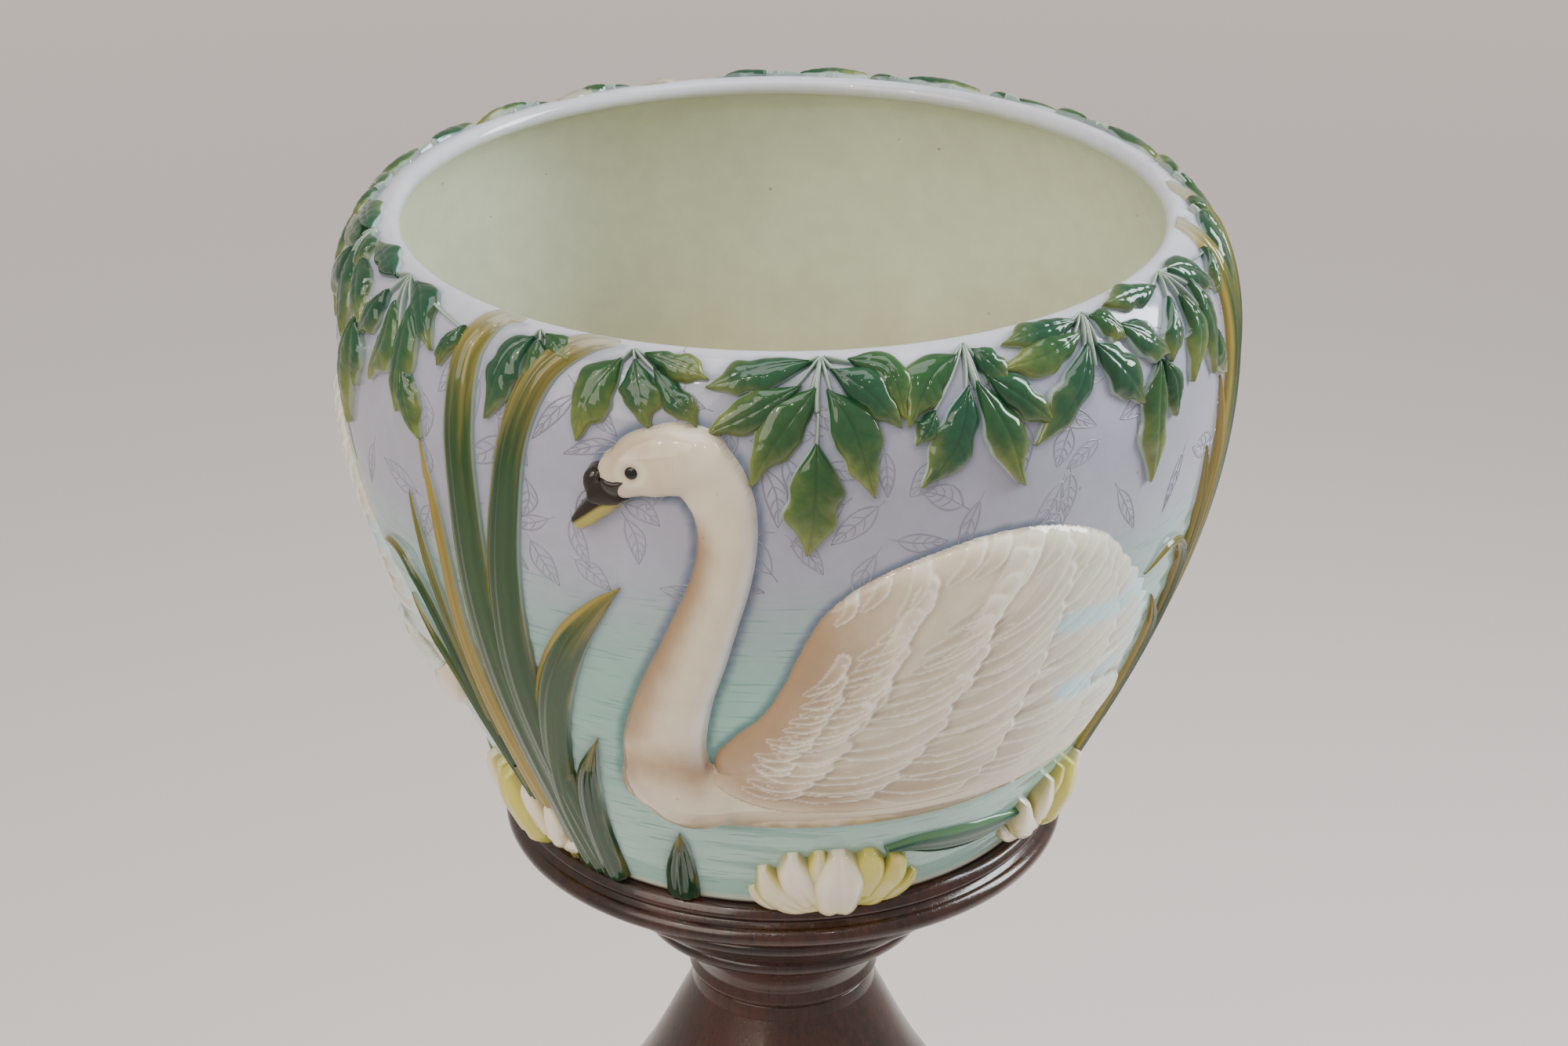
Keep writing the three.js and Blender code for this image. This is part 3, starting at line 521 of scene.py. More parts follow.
# %% [markdown]
# ## Drawing flat forms
#
# The relief is drawn in two ways. `strip` follows a line with a width, for leaves, reeds and
# stems. A height map over an outline, which `Drawing.add_map` takes, is for the swan. Both let
# the edge dip under the pot's surface, so the wall itself cuts the outline clean, as the mould
# does.

# %% Flat forms
SINK = 2.2  # how far the edge of a form goes under the surface
NOWHERE = -9.0  # the height of a place where a form isn't


def strip(line, rows, columns, section, edge, uneven=None):
    """A form along a line of [degrees, climb, half width]. `section` gives the lift at (u, v)."""
    spine = through(line, rows)
    u = lengths(spine[:, :2]) / lengths(spine[:, :2])[-1]
    per_mm = degrees_per_mm(spine[:, 1])
    forward = np.gradient(np.stack([spine[:, 0] / per_mm, spine[:, 1]], 1), axis=0)
    forward /= np.linalg.norm(forward, axis=1)[:, None]
    ends = np.r_[0, 0:rows, rows - 1]  # the first and the last row come twice, to close the ends
    spine, u, per_mm, forward = spine[ends], u[ends], per_mm[ends], forward[ends]
    v = np.linspace(-1, 1, columns)
    v = np.concatenate([[-1], v, [1]])
    grow = np.concatenate([[edge], np.zeros(columns), [edge]])
    uu, vv = np.meshgrid(u, v, indexing="ij")
    half = spine[:, 2][:, None] * (1 if uneven is None else uneven(uu, np.sign(vv)))
    reach = half * vv + np.sign(vv) * grow[None, :] * np.clip(np.minimum(uu, 1 - uu) * 14, 0.1, 1)
    degrees = spine[:, 0][:, None] - forward[:, 1][:, None] * reach * per_mm[:, None]
    climb = spine[:, 1][:, None] + forward[:, 0][:, None] * reach
    lift = section(uu, vv)
    lift[:, 0] = lift[:, -1] = lift[0] = lift[-1] = -SINK
    return degrees, climb, lift, uu, vv


def grid_faces(rows, columns):
    i, j = np.meshgrid(np.arange(rows - 1), np.arange(columns - 1), indexing="ij")
    a = (i * columns + j).ravel()
    return np.stack([a, a + columns, a + columns + 1, a + 1], 1)


class Drawing:
    """Collects flat forms and the values that go with their points."""

    def __init__(self, *fields):
        self.points, self.faces, self.fields, self.count = [], [], {field: [] for field in fields}, 0

    def add(self, degrees, climb, lift, faces, **fields):
        self.faces.append(np.asarray(faces) + self.count)
        self.points.append(np.stack([degrees.ravel(), climb.ravel(), lift.ravel()], 1))
        for field, values in self.fields.items():
            values.append(np.broadcast_to(fields[field], degrees.shape).ravel())
        self.count += degrees.size

    def add_strip(self, made, **fields):
        degrees, climb, lift, u, v = made
        self.add(degrees, climb, lift, grid_faces(*degrees.shape), **{"u": u, "v": v, **fields})

    def add_map(self, degrees, climb, lift, **fields):
        """The part of a height map that stands above the surface, with a cell's edge round it."""
        above = lift > -SINK
        cells = above[:-1, :-1] | above[1:, :-1] | above[:-1, 1:] | above[1:, 1:]
        used = np.zeros(lift.shape, bool)
        for i, j in ((0, 0), (1, 0), (0, 1), (1, 1)):
            used[i:i + cells.shape[0], j:j + cells.shape[1]] |= cells
        numbers = np.full(lift.shape, -1)
        numbers[used] = np.arange(used.sum())
        faces = np.stack([numbers[:-1, :-1][cells], numbers[:-1, 1:][cells],
                          numbers[1:, 1:][cells], numbers[1:, :-1][cells]], 1)
        self.add(degrees[used], climb[used], np.maximum(lift, -SINK)[used], faces,
                 **{field: np.broadcast_to(values, lift.shape)[used] for field, values in fields.items()})

    def mesh(self, name):
        mesh = bpy.data.meshes.new(name)
        mesh.from_pydata(np.vstack(self.points).tolist(), [], np.vstack(self.faces).tolist())
        for field, values in self.fields.items():
            mesh.attributes.new(field, "FLOAT", "POINT").data.foreach_set(
                "value", np.concatenate(values).astype(np.float32))
        return mesh


def on_pot(name, drawing, material):
    """Wraps a drawing on the wall, repeats it, and shows it as a piece of the jardiniere."""
    mesh = grown(wrap, drawing.mesh(name), material, Wall=wall_object, Copies=PANELS,
                 Lowest=(BOWL_BOTTOM + 0.2) / 1000)
    return show(name, facing_out(mesh, "sideways"), "jardiniere")


print("Forms dip", SINK, "mm under the surface")

# %% [markdown]
# ## Modelling by distance
#
# In clay a form is a cushion that rises from its outline. Here too: each point's distance from a
# drawn line becomes a height, and where two forms meet the join is soft, as it is in wet clay.

# %% Distances to drawn lines
DRAWN = 2.95  # millimetres to a degree in the swan's drawing


def nearest(x, y, line):
    """How far each point is from a line, where on the line, and on which side of it."""
    best, place, side = np.full(x.shape, 1e9), np.zeros(x.shape), np.zeros(x.shape)
    for k, (a, b) in enumerate(zip(line[:-1], line[1:])):
        on = b - a
        t = portion(((x - a[0]) * on[0] + (y - a[1]) * on[1]) / max(on @ on, 1e-9))
        gap = np.hypot(x - a[0] - t * on[0], y - a[1] - t * on[1])
        closer = gap < best
        best = np.where(closer, gap, best)
        place = np.where(closer, k + t, place)
        side = np.where(closer, np.sign(on[0] * (y - a[1]) - on[1] * (x - a[0])), side)
    return best, place, side


def inside_by(x, y, outline):
    """How far each point lies inside a closed outline; outside is negative."""
    outline = np.array(outline, float) * [DRAWN, 1]
    outline = through(np.vstack([outline, outline[:1]]), 4 * len(outline) + 1)
    gap, _, _ = nearest(x, y, outline)
    within = np.zeros(x.shape, bool)
    for a, b in zip(outline[:-1], outline[1:]):
        if a[1] != b[1]:
            crosses = (a[1] > y) != (b[1] > y)
            within ^= crosses & (x < (b[0] - a[0]) * (y - a[1]) / (b[1] - a[1]) + a[0])
    return np.where(within, gap, -gap)


def banked(inside, rise, bank=1.3):
    """A form that rises from its edge. The first stretch is straight, so the wall cuts it clean."""
    return np.where(inside < bank, inside * rise(bank) / bank, rise(np.maximum(inside, bank)))


def dome(inside, crown, roll, bank=1.3):
    """A rounded cushion: it rises over about `roll` millimetres and levels out at `crown`."""
    return banked(inside, lambda d: crown * np.sqrt(1 - np.exp(-2 * d / roll)), bank)


def both(first, second, soft=1.0):
    """The higher of two heights, with a soft join."""
    return 0.5 * (first + second + np.sqrt((first - second) ** 2 + soft ** 2))


def blurred(field, size):
    """A Gaussian blur by a Fourier transform."""
    margin = 24
    wide = np.pad(field, margin, mode="edge")
    fy, fx = np.meshgrid(np.fft.fftfreq(wide.shape[0]), np.fft.rfftfreq(wide.shape[1]), indexing="ij")
    soft = np.fft.irfft2(np.fft.rfft2(wide) * np.exp(-2 * (math.pi * size) ** 2 * (fx ** 2 + fy ** 2)),
                         wide.shape)
    return soft[margin:-margin, margin:-margin]


print("Distances are ready")

# %% [markdown]
# ## The swan
#
# The neck and the head are one tapering roll that sinks into the cushion of the breast, and the
# belly fades into the water. The same grid carries the colours: tan down the front of the neck,
# over the breast and low by the water, partly painted shade; a pale painted highlight along the
# neck's back; darker where two forms meet.

# %% The swan: body, neck and head
BODY_STEP = 0.85  # millimetres
EYE = (-16.8, 238.9)  # degrees, climb
X, Y = np.meshgrid(np.arange(-28, 64, BODY_STEP / DRAWN) * DRAWN, np.arange(50, 262, BODY_STEP))
belly = [(-20.5, 104), (-24.2, 91), (-25, 77.5), (-23.2, 66.6), (-19.3, 60.5), (-11.5, 58.2), (1.4, 57.2),
         (18.7, 56.6), (36, 57.5), (46, 62), (54, 71), (59.5, 85), (60, 100), (50, 112), (30, 116), (4, 108),
         (-4, 101), (-9, 98), (-14, 104)]
body_in = inside_by(X, Y, belly)
shallow = 0.3 + 0.7 * portion((Y - 54) / 24)
under_wing = 1 - 0.34 * portion((X / DRAWN + 9) / 14) * portion((Y - 70) / 14)
body_lift = dome(body_in, 7.4, 17) * np.where(body_in > 0, shallow * under_wing, 1)

neck = through([
    (-14.6, 78, 21, 7.0), (-16.6, 92, 20, 8.0), (-16.7, 106, 18.2, 8.4), (-15.6, 121, 16.2, 8.2),
    (-13.6, 140, 14.2, 7.9), (-11.4, 157, 12.8, 7.6), (-9.1, 177, 11.3, 7.3), (-7.5, 192, 10.5, 7.1),
    (-6.6, 206, 10.3, 7.0), (-6.5, 218, 10.6, 7.0), (-7.2, 229, 11.5, 7.3), (-9.2, 239, 12.6, 8.0),
    (-12.4, 243.5, 13.4, 8.8)], 70)
gap, place, side = nearest(X, Y, neck[:, :2] * [DRAWN, 1])
wide = np.interp(place, np.arange(len(neck)), neck[:, 2])
crown = np.interp(place, np.arange(len(neck)), neck[:, 3])
across = gap / wide
neck_lift = banked(wide - gap, lambda d: crown * np.sqrt(portion(1 - portion(1 - d / wide) ** 2.3)))

skull = through([(-10.4, 243.4, 13), (-13.2, 242.6, 13.2), (-16.2, 240, 12.6), (-18.4, 236.4, 9.8)], 24)
gap_h, place_h, _ = nearest(X, Y, skull[:, :2] * [DRAWN, 1])
wide_h = np.interp(place_h, np.arange(len(skull)), skull[:, 2])
head_lift = banked(wide_h - gap_h, lambda d: 9.2 * np.sqrt(portion(1 - portion(1 - d / wide_h) ** 2.4)))


def spot(degrees, climb, wide, high):
    return np.exp(-(((X - degrees * DRAWN) / wide) ** 2 + ((Y - climb) / high) ** 2))


head_lift = head_lift + 0.8 * spot(-14.4, 233, 8, 6) + 0.5 * spot(-17.6, 243, 8, 3.5)  # cheek and brow
head_lift = head_lift - 0.7 * spot(*EYE, 4.2, 4)
roll = both(neck_lift, head_lift, 1.4)
merge = 0.8 + 5.2 * portion((126 - Y) / 34) ** 1.5 * portion(1.6 - across)
body_lift = np.clip(both(body_lift, roll, merge), -3, None)

left = np.clip(-side * np.minimum(across, 1.3), -1, 1)  # -1 at the neck's front edge, +1 at its back
on_neck = (across < 1.3) & (Y > 88)
below_head = portion((62 - place) / 14) * portion((gap_h - 9) / 8)
# Painted shade, in part: the tan on the neck's front, the breast, the brow and low by the water.
front = np.where(on_neck, portion((0.3 - left) / 1.25) ** 1.2, 0) * portion((Y - 90) / 30) * below_head
breast = np.exp(-np.maximum(body_in, 0) / 15) * portion((-6 - X / DRAWN) / 6) * portion((132 - Y) / 34)
waterline = portion((80 - Y) / 22) * 0.75
brow = 0.4 * spot(-19.4, 246, 14, 12) + 0.34 * spot(-14.2, 236, 22, 13) + 0.3 * spot(-13.5, 250, 14, 6)
body_tan = portion(np.maximum.reduce([front, breast * 0.9, waterline, brow, np.full(X.shape, 0.18)]))
rings = 0.25 * bell(np.hypot(X - EYE[0] * DRAWN, Y - EYE[1]) - 4.4, 1.3)
# Painted highlight: a cool near-white along the neck's back edge.
pale = np.where(on_neck, portion((left - 0.5) / 0.4), 0) * portion((Y - 98) / 30) * portion((62 - place) / 16)
crease = portion(-(body_lift - blurred(np.maximum(body_lift, 0), 3)) / 1.1) * (body_lift > 2)
swans = Drawing("tan_wash", "ridge", "hollow", "back_line", "tinted")
swans.add_map(X / DRAWN, Y, body_lift, tan_wash=body_tan * (1 - rings), ridge=rings, hollow=crease,
              back_line=pale, tinted=0.0)
BODY_X, BODY_Y = X, Y
print("One swan's body has", swans.count, "points")

# %% [markdown]
# ### The wing
#
# The wing is a second form, because its feathers are small: rows of tongues, each low at its
# root and proud at its tip and its lower edge, so that a row stands out over the next one like
# roof tiles. Every feather is a little off its place, as a hand would press it.

# %% The swan: wing feathers
WING_STEP = 0.8  # millimetres
X, Y = np.meshgrid(np.arange(-10, 68, WING_STEP / DRAWN) * DRAWN, np.arange(74, 216, WING_STEP))
outline = [(-5.5, 120), (-2.5, 129.5), (0.1, 145), (1.9, 160), (4.6, 178), (8, 189), (12.4, 197),
           (17.5, 202.5), (23.5, 206.5), (29.5, 206.5), (35, 203), (40, 197), (44, 189), (47.5, 178),
           (51, 167), (55, 154), (58.6, 140), (60.6, 124), (60, 106), (54, 91), (45, 81), (30, 76), (10, 75),
           (-2, 80), (-9, 92), (-9.4, 105)]
wing_in = inside_by(X, Y, outline)
far = portion((X / DRAWN - 43) / 8)
tips = np.abs(np.sin(math.pi * (Y - 0.25 * X) / 11)) - 0.75  # feather tips along the far end
wing_in = wing_in + 2.6 * far * tips
fade = 1 - 0.84 * portion((X / DRAWN - 28) / 31)  # the wing lies lower towards its far end
fade = fade + 0.55 * np.exp(-((X / DRAWN - 42) / 10) ** 2 - ((Y - 98) / 17) ** 2)  # but swells low down
wing_lift = dome(wing_in, 5.4, 17) * np.where(wing_in > 0, fade, 1)


def on_body(field, x, y, outside):
    """Values of the body's grid at other points, given in millimetres."""
    i, j = (y - BODY_Y[0, 0]) / BODY_STEP, (x - BODY_X[0, 0]) / BODY_STEP
    a, b = np.clip(i.astype(int), 0, field.shape[0] - 2), np.clip(j.astype(int), 0, field.shape[1] - 2)
    f, g = i - a, j - b
    found = (field[a, b] * (1 - f) * (1 - g) + field[a + 1, b] * f * (1 - g)
             + field[a, b + 1] * (1 - f) * g + field[a + 1, b + 1] * f * g)
    return np.where((i >= 0) & (j >= 0) & (i < field.shape[0] - 1) & (j < field.shape[1] - 1), found, outside)


feathers = np.full(X.shape, NOWHERE)
whiteness = np.zeros(X.shape)
shade = np.zeros(X.shape)


def feather(line, half, low, high, rim=0.5, white=0.5):
    """Adds one feather along a line from root to tip, given in [degrees, climb]."""
    spine = through(np.array(line, float) * [DRAWN, 1], 9)
    middle, reach = spine.mean(0), lengths(spine)[-1] / 2 + half + 4
    window = (np.abs(X - middle[0]) < reach) & (np.abs(Y - middle[1]) < reach)
    gap, place, side = nearest(X[window], Y[window], spine)
    u = place / (len(spine) - 1)
    taper = np.sqrt(portion((u + 0.12) / 0.75))
    inside = half * taper - gap
    low_side = -side * portion(gap / half)  # +1 at the lower edge
    edge = bell(inside, 0.95)
    lift = low + (high - low) * u ** 1.2 + 0.42 * low_side
    lift = lift + rim * edge * (0.25 + 0.75 * portion(low_side + u))
    lift = lift - 0.22 * bell(low_side - 0.1, 0.16) * (u > 0.15) * (u < 0.9)
    lift = np.where(inside > 0, lift, NOWHERE)
    over = lift > feathers[window]
    feathers[window] = np.where(over, lift, feathers[window])
    bright = edge * (0.42 + 0.58 * portion(low_side + u - 0.1))
    bright = bright + white * portion((u - 0.55) / 0.45) ** 1.5
    whiteness[window] = np.where(over, portion(bright), whiteness[window])
    shade[window] = np.where(over, portion(1 - u * 1.3) * (1 - edge), shade[window])


def row(tips, long, half, lean, bend, low, high, **more):
    """A row of feathers: values that are pairs run from the bottom tip to the top one."""
    for k, tip in enumerate(tips):
        t = k / (len(tips) - 1)
        length, width, tilt, curl = (a + (b - a) * t for a, b in (long, half, lean, bend))
        jitter = random.normal(0, 1, 4)
        tilt = math.radians(tilt + 4.5 * jitter[0])
        tip = np.array(tip) + [0.35 * jitter[1], 0.8 * jitter[2]]
        length *= 1 + 0.08 * jitter[3]
        back = -np.array([math.cos(tilt), math.sin(tilt)]) * length
        droop = np.array([math.sin(tilt), -math.cos(tilt)]) * curl
        root = tip + back / [DRAWN, 1]
        middle = tip + (back * 0.5 + droop) / [DRAWN, 1]
        feather([root, middle, tip], width, low, high, **more)


def spaced(line, gap):
    """Tips along a line, one every `gap` millimetres."""
    line = through(line, 60)
    along = lengths(line * [DRAWN, 1])
    at = np.arange(0, along[-1], gap)
    return np.stack([np.interp(at, along, line[:, k]) for k in (0, 1)], 1)


row(spaced([(47, 78), (55, 90), (60.5, 105), (63, 124), (62, 141), (59, 156), (54, 170), (48, 181),
            (43.5, 190)], 10.5),
    (62, 50), (7.4, 6.0), (6, 22), (3, 6), 4.5, 5.2, rim=0.4, white=0.2)
row(spaced([(38, 84), (42.5, 97), (45.5, 112), (46.6, 130), (46.6, 150), (44.6, 166), (42, 180), (39, 195)],
           9.4),
    (50, 44), (6.4, 5.4), (2, 32), (4, 6), 4.9, 5.6, rim=0.45, white=0.2)
row(spaced([(26, 84), (29, 97), (30.8, 112), (32.2, 128), (33.4, 145), (34.2, 160), (35, 175), (35.4, 188),
            (34.5, 200)], 8.2),
    (50, 44), (5.4, 4.6), (-4, 40), (4, 5), 5.2, 6.0, rim=0.5, white=0.25)
row(spaced([(11.5, 87), (14.5, 97), (17, 110), (19.6, 124), (21.9, 139), (23.6, 154), (24.6, 168), (26, 182),
            (28, 194), (29.4, 203)], 7.4),
    (42, 38), (4.6, 4.0), (-6, 50), (3.5, 4.5), 5.5, 6.3, rim=0.5, white=0.35)
row(spaced([(1.5, 92), (4.6, 103), (7.2, 117), (9, 130), (10.8, 143), (12.4, 156), (14, 170), (15.6, 184),
            (17.4, 197)], 6.2),
    (22, 24), (3.5, 3.4), (-10, 60), (2.5, 3.5), 5.7, 6.4, rim=0.4, white=0.25)
row(spaced([(-0.6, 104), (2.2, 115), (4.4, 128), (5.8, 142), (6.8, 156), (7.8, 168)], 5.4),
    (12, 16), (2.6, 2.8), (-10, 56), (1.5, 2), 5.6, 6.0, rim=0.2, white=0.12)
print("Feathers are laid on", X.size, "points")

# %% [markdown]
# ### Tufts, and the wing's colours
#
# Tufts break the wing's upper edge. Then the feathers are laid on the wing's own cushion, and
# the wing is pressed softly into the body. Three patches have a breath of blue, and a broader cool
# tint over the right and the far end is painted light.

# %% The swan: tufts and the wing's colours
tufts = [((6.2, 178), (8.2, 190.5), 2.2), ((9.2, 184), (12.1, 199), 2.6), ((13.6, 181), (16.4, 202.5), 3.2),
         ((19.4, 192), (23.4, 207.5), 3.2), ((22.6, 193), (26.4, 206), 3.2), ((27, 190), (31.4, 206.5), 3.4),
         ((31, 188), (35.4, 204), 3.2), ((34.5, 187), (38.8, 200), 3.0), ((37.5, 183), (43, 193.5), 3.2),
         ((21, 158), (24.4, 173), 3.4), ((22.4, 166), (25.4, 181), 3.2), ((23.6, 174), (27.4, 189), 3.2),
         ((25.6, 181), (30, 197), 3.4), ((20.4, 138), (22.4, 147), 2.6), ((8.4, 122), (10.4, 139), 2.4),
         ((10.6, 134), (12.4, 150), 2.4)]
for root, tip, half in tufts:
    middle = ((root[0] + tip[0]) / 2 + 0.5, (root[1] + tip[1]) / 2 - 1)
    feather([root, middle, tip], half, 5.8, 6.6, rim=0.3, white=0.7)
cover = portion((wing_in + 1) / 9) ** 0.8
wing_all = np.where(feathers > NOWHERE, wing_lift + cover * (feathers - 5.4), wing_lift)
inside_wing = wing_all > -1
soft = blurred(np.where(inside_wing, wing_all, 0), 0.9) / np.maximum(blurred(inside_wing * 1.0, 0.9), 0.2)
wing_all = np.where(inside_wing, soft, wing_all)
body_here = on_body(body_lift, X, Y, NOWHERE)
over_body = portion(body_here / 2) * portion((wing_in + 7) / 1.5)
wing_all = np.where(over_body > 0, both(wing_all, body_here, 2.6 * over_body) + 0.05, wing_all)
wing_all = np.where((wing_in < -7) | ((wing_in < -1) & (body_here < 1)), NOWHERE, wing_all)
fall = wing_all - blurred(np.maximum(wing_all, 0), 2.6)
hollow = portion(-fall / 0.7) * 0.9 + 0.5 * shade  # deep between feathers
# Painted shade, in part: the wing's tan along its leading edge, low down and towards its left side.
leading = np.exp(-np.maximum(wing_in, 0) / 30) * portion((26 - X / DRAWN) / 16)
leading = leading * portion((206 - Y) / 40) ** 0.6
lower = portion((118 - Y) / 30) * 0.6
wing_tan = portion(np.maximum.reduce([leading, lower * portion((48 - X / DRAWN) / 20),
                                      0.3 - X / DRAWN / 200]))
join = np.where(body_here > 1, portion((9 - wing_in) / 12), 0)
wing_tan = wing_tan * (1 - join) + on_body(body_tan, X, Y, 0) * join
whiteness, hollow = whiteness * (1 - join), hollow * (1 - join)


def band(start, end, wide):
    gap, _, _ = nearest(X, Y, np.array([start, end], float) * [DRAWN, 1])
    return bell(gap, wide)


# The three bands are the glaze's own blue; the two broad terms over the right and the far end are painted
# cool light.
blue = portion(1.3 * band((37, 158), (49, 152.5), 4.5) + 1.3 * band((41, 119), (53, 115), 4.2)
               + 0.6 * band((52, 160), (60, 138), 6)
               + 0.16 * portion((X / DRAWN - 24) / 16) + 0.34 * portion((X / DRAWN - 48) / 9))
whiteness = whiteness * (1 - 0.6 * blue)
swan_wings = Drawing("tan_wash", "ridge", "hollow", "back_line", "tinted")
swan_wings.add_map(X / DRAWN, Y, np.where(inside_wing, wing_all, NOWHERE), tan_wash=wing_tan, ridge=whiteness,
                   hollow=portion(hollow), back_line=0.0, tinted=blue)
print("One wing has", swan_wings.count, "points")

# %% [markdown]
# ### The swan's glaze
#
# Cream over the white clay, and tan on the breast, the front of the neck and the wing's leading
# edge, partly a wash and partly painted shade. A painted highlight runs along the neck's back and a
# painted cool light lies over the wing's far end. Grey-brown where the glaze lies deep between the
# feathers, and near white along the ridges where it ran thin.

# %% Material: swan
swan_glaze, tree, surface = glazed("swan_glaze")
cream, tan = colour(223, 211, 186), colour(164, 134, 100)
fine = scaled(tree, object_place(tree), 60, 60, 34)
# The tan is partly a wash and partly painted shade.
washed_and_shaded = brushed(tree, cream, tan, attribute(tree, "tan_wash"), fine, 0.14)
# Blue patches of glaze, and a painted cool light over the wing's far end.
cool = blend(tree, attribute(tree, "tinted"), washed_and_shaded, colour(186, 226, 234))
white = blend(tree, times(tree, attribute(tree, "ridge"), 0.85), cool, colour(243, 239, 228))
# Painted highlight along the neck's back.
edge = blend(tree, times(tree, attribute(tree, "back_line"), 0.8), white, colour(228, 233, 236))
hollow = times(tree, attribute(tree, "hollow"), 0.9)
fire(tree, surface, edge, pooled=colour(140, 122, 98), hollow=hollow, flecks=0.5, unevenness=0.6)
on_pot("swan_relief", swans, swan_glaze)
on_pot("wing_relief", swan_wings, swan_glaze)

# %% [markdown]
# ### Bill and eyes
#
# A mute swan has a black knob and black bare skin up to the eye; the painter gave this one an
# olive bill. They are small and crisp, so they are forms of their own on finer grids.

# %% Bill and eyes
def patch(drawing, outline, step, crown, roll, base, olive=lambda degrees, climb: 0 * degrees):
    """A small cushion over an outline, standing on the head or on a base height above it."""
    outline = np.array(outline, float)
    low, high = outline.min(0) - [1, 3], outline.max(0) + [1, 3]
    degrees, climb = np.meshgrid(np.arange(low[0], high[0], step / DRAWN), np.arange(low[1], high[1], step))
    inside = inside_by(degrees * DRAWN, climb, outline)
    base = np.maximum(base, on_body(body_lift, degrees * DRAWN, climb, 0) + 0.2)
    lift = np.where(inside > 0, base + dome(inside, crown, roll, 0.5), base + inside * 5)
    drawing.add_map(degrees, climb, lift, olive=olive(degrees, climb))


def olive_below(degrees, climb):
    """Olive along the lower half of the bill, dark above its mouth line."""
    below = (-19.6 - degrees) * 2.62 - (227.2 - climb)
    return portion(0.5 - below / 1.6) * portion((227 - climb) / 2.5)


bare_skin = [(-20.3, 235.6), (-19.2, 234.9), (-17.7, 235.4), (-18.15, 233.3), (-18.4, 230.5), (-18.3, 226.8),
             (-19.6, 225.4), (-22, 225.6), (-22, 232)]
knob = [(-20.5, 234.6), (-20.8, 237.4), (-21.7, 237.9), (-22.6, 236.3), (-22.95, 233.2), (-22.7, 229.3),
        (-22.1, 226.4), (-20.8, 229)]
beak = [(-18.6, 226.6), (-19.3, 222.6), (-21.2, 217.4), (-22.9, 213.2), (-23.9, 212.7), (-24.7, 215.4),
        (-24.4, 218), (-23.6, 221.6), (-22.3, 225.6), (-20.6, 227.6)]
bills = Drawing("olive")
patch(bills, bare_skin, 0.4, 1.0, 3, 7.4)
patch(bills, knob, 0.4, 3.4, 5, 5.0)
patch(bills, beak, 0.4, 2.8, 4, 4.0, olive_below)
bill_glaze, tree, surface = glazed("bill_glaze")
tinted_bill = blend(tree, attribute(tree, "olive"), colour(34, 26, 18), colour(168, 158, 78))
fire(tree, surface, tinted_bill, pooled=colour(18, 14, 10), hollow=0.12, flecks=0.0, unevenness=0.5)
on_pot("swan_bills", bills, bill_glaze)

EYE_RADIUS = 2.2
turns = np.linspace(0, math.tau, 20)[:-1]
eyes = Drawing()
patch(eyes, [(EYE[0] + EYE_RADIUS * math.cos(a) / DRAWN, EYE[1] + EYE_RADIUS * math.sin(a)) for a in turns],
      0.25, 1.2, 2.4, 8.4)
eye_glaze, tree, surface = glazed("eye_glaze")
fire(tree, surface, colour(16, 13, 11), pooled=colour(10, 8, 6), hollow=0.2, flecks=0.0, unevenness=0.3)
on_pot("swan_eyes", eyes, eye_glaze)

# %% [markdown]
# ## The garland
#
# Sprays of pointed leaves hang from under the lip. A leaf is two soft cushions along a sunk
# rib, with sunk side veins, a wavy edge and a drawn-out tip.

# %% Leaves
GARLAND_CLIMB = 260  # millimetres up the wall, the middle of the garland


def leaf(points, half, seed):
    """One leaf along a line from its stalk to its tip, and what its glaze needs to know."""
    rng = np.random.default_rng(seed)
    phase, tilt = rng.uniform(0, math.tau), rng.uniform(-0.9, 0.9)
    u = np.linspace(0, 1, 13)
    centre = through(points, 13)
    centre[:, 0] += 0.25 * np.sin(u * 7 + phase) * u
    shape = np.sin(math.pi * u ** 1.12) ** 0.85 * (1 - 0.28 * bell(u - 0.88, 0.08))
    line = np.column_stack([centre, half * np.maximum(shape, 0.05)])
    long = np.linalg.norm((centre[-1] - centre[0]) / [degrees_per_mm(GARLAND_CLIMB), 1])

    def uneven(uu, side):
        on = portion((uu - 0.15) / 0.25)
        wavy = 0.12 * np.sin(uu * 11 + phase + 2.1 * side) + 0.06 * np.sin(uu * 24 + 2 * phase - side)
        return 1 + on * wavy + 0.08 * side * tilt

    def veins(uu, vv):
        side = np.abs(vv)
        at = (uu * long - 0.75 * side * half) / (long / 6.5)
        return bell(at % 1 - 0.5, 0.13) * (1 - side ** 3) * portion(side / 0.15)

    def section(uu, vv):
        side = np.abs(vv)
        wave = 0.5 * np.sin(uu * 13 + phase + 2 * np.sign(vv)) * side ** 2
        cushion = portion(1 - side ** 2.6) ** 0.8
        rise = 0.35 + 0.65 * np.sin(math.pi * portion(uu) ** 0.8) ** 0.6
        rib = 0.75 * bell(vv, 0.1) * (1 - 0.6 * uu)
        lift = 1.2 + wave + 3.3 * cushion * rise - rib - 0.24 * veins(uu, vv)
        return lift + 1.1 * tilt * vv * np.sin(math.pi * uu)

    made = strip(line, 40, 19, section, edge=0.4, uneven=uneven)
    uu, vv = made[3], made[4]
    sunk_and_shaded = 0.6 * bell(vv, 0.07) * (1 - 0.5 * uu) + 0.3 * veins(uu, vv)
    # Partly painted shade: the half of the leaf that lies lower gets the dark pooled colour.
    sunk_and_shaded = sunk_and_shaded + 0.5 * portion(vv * (1 if tilt > 0 else -1) * -1.2) * (1 - uu)
    return made, dict(sunk_and_shaded=portion(sunk_and_shaded), tone=rng.uniform(0, 1))


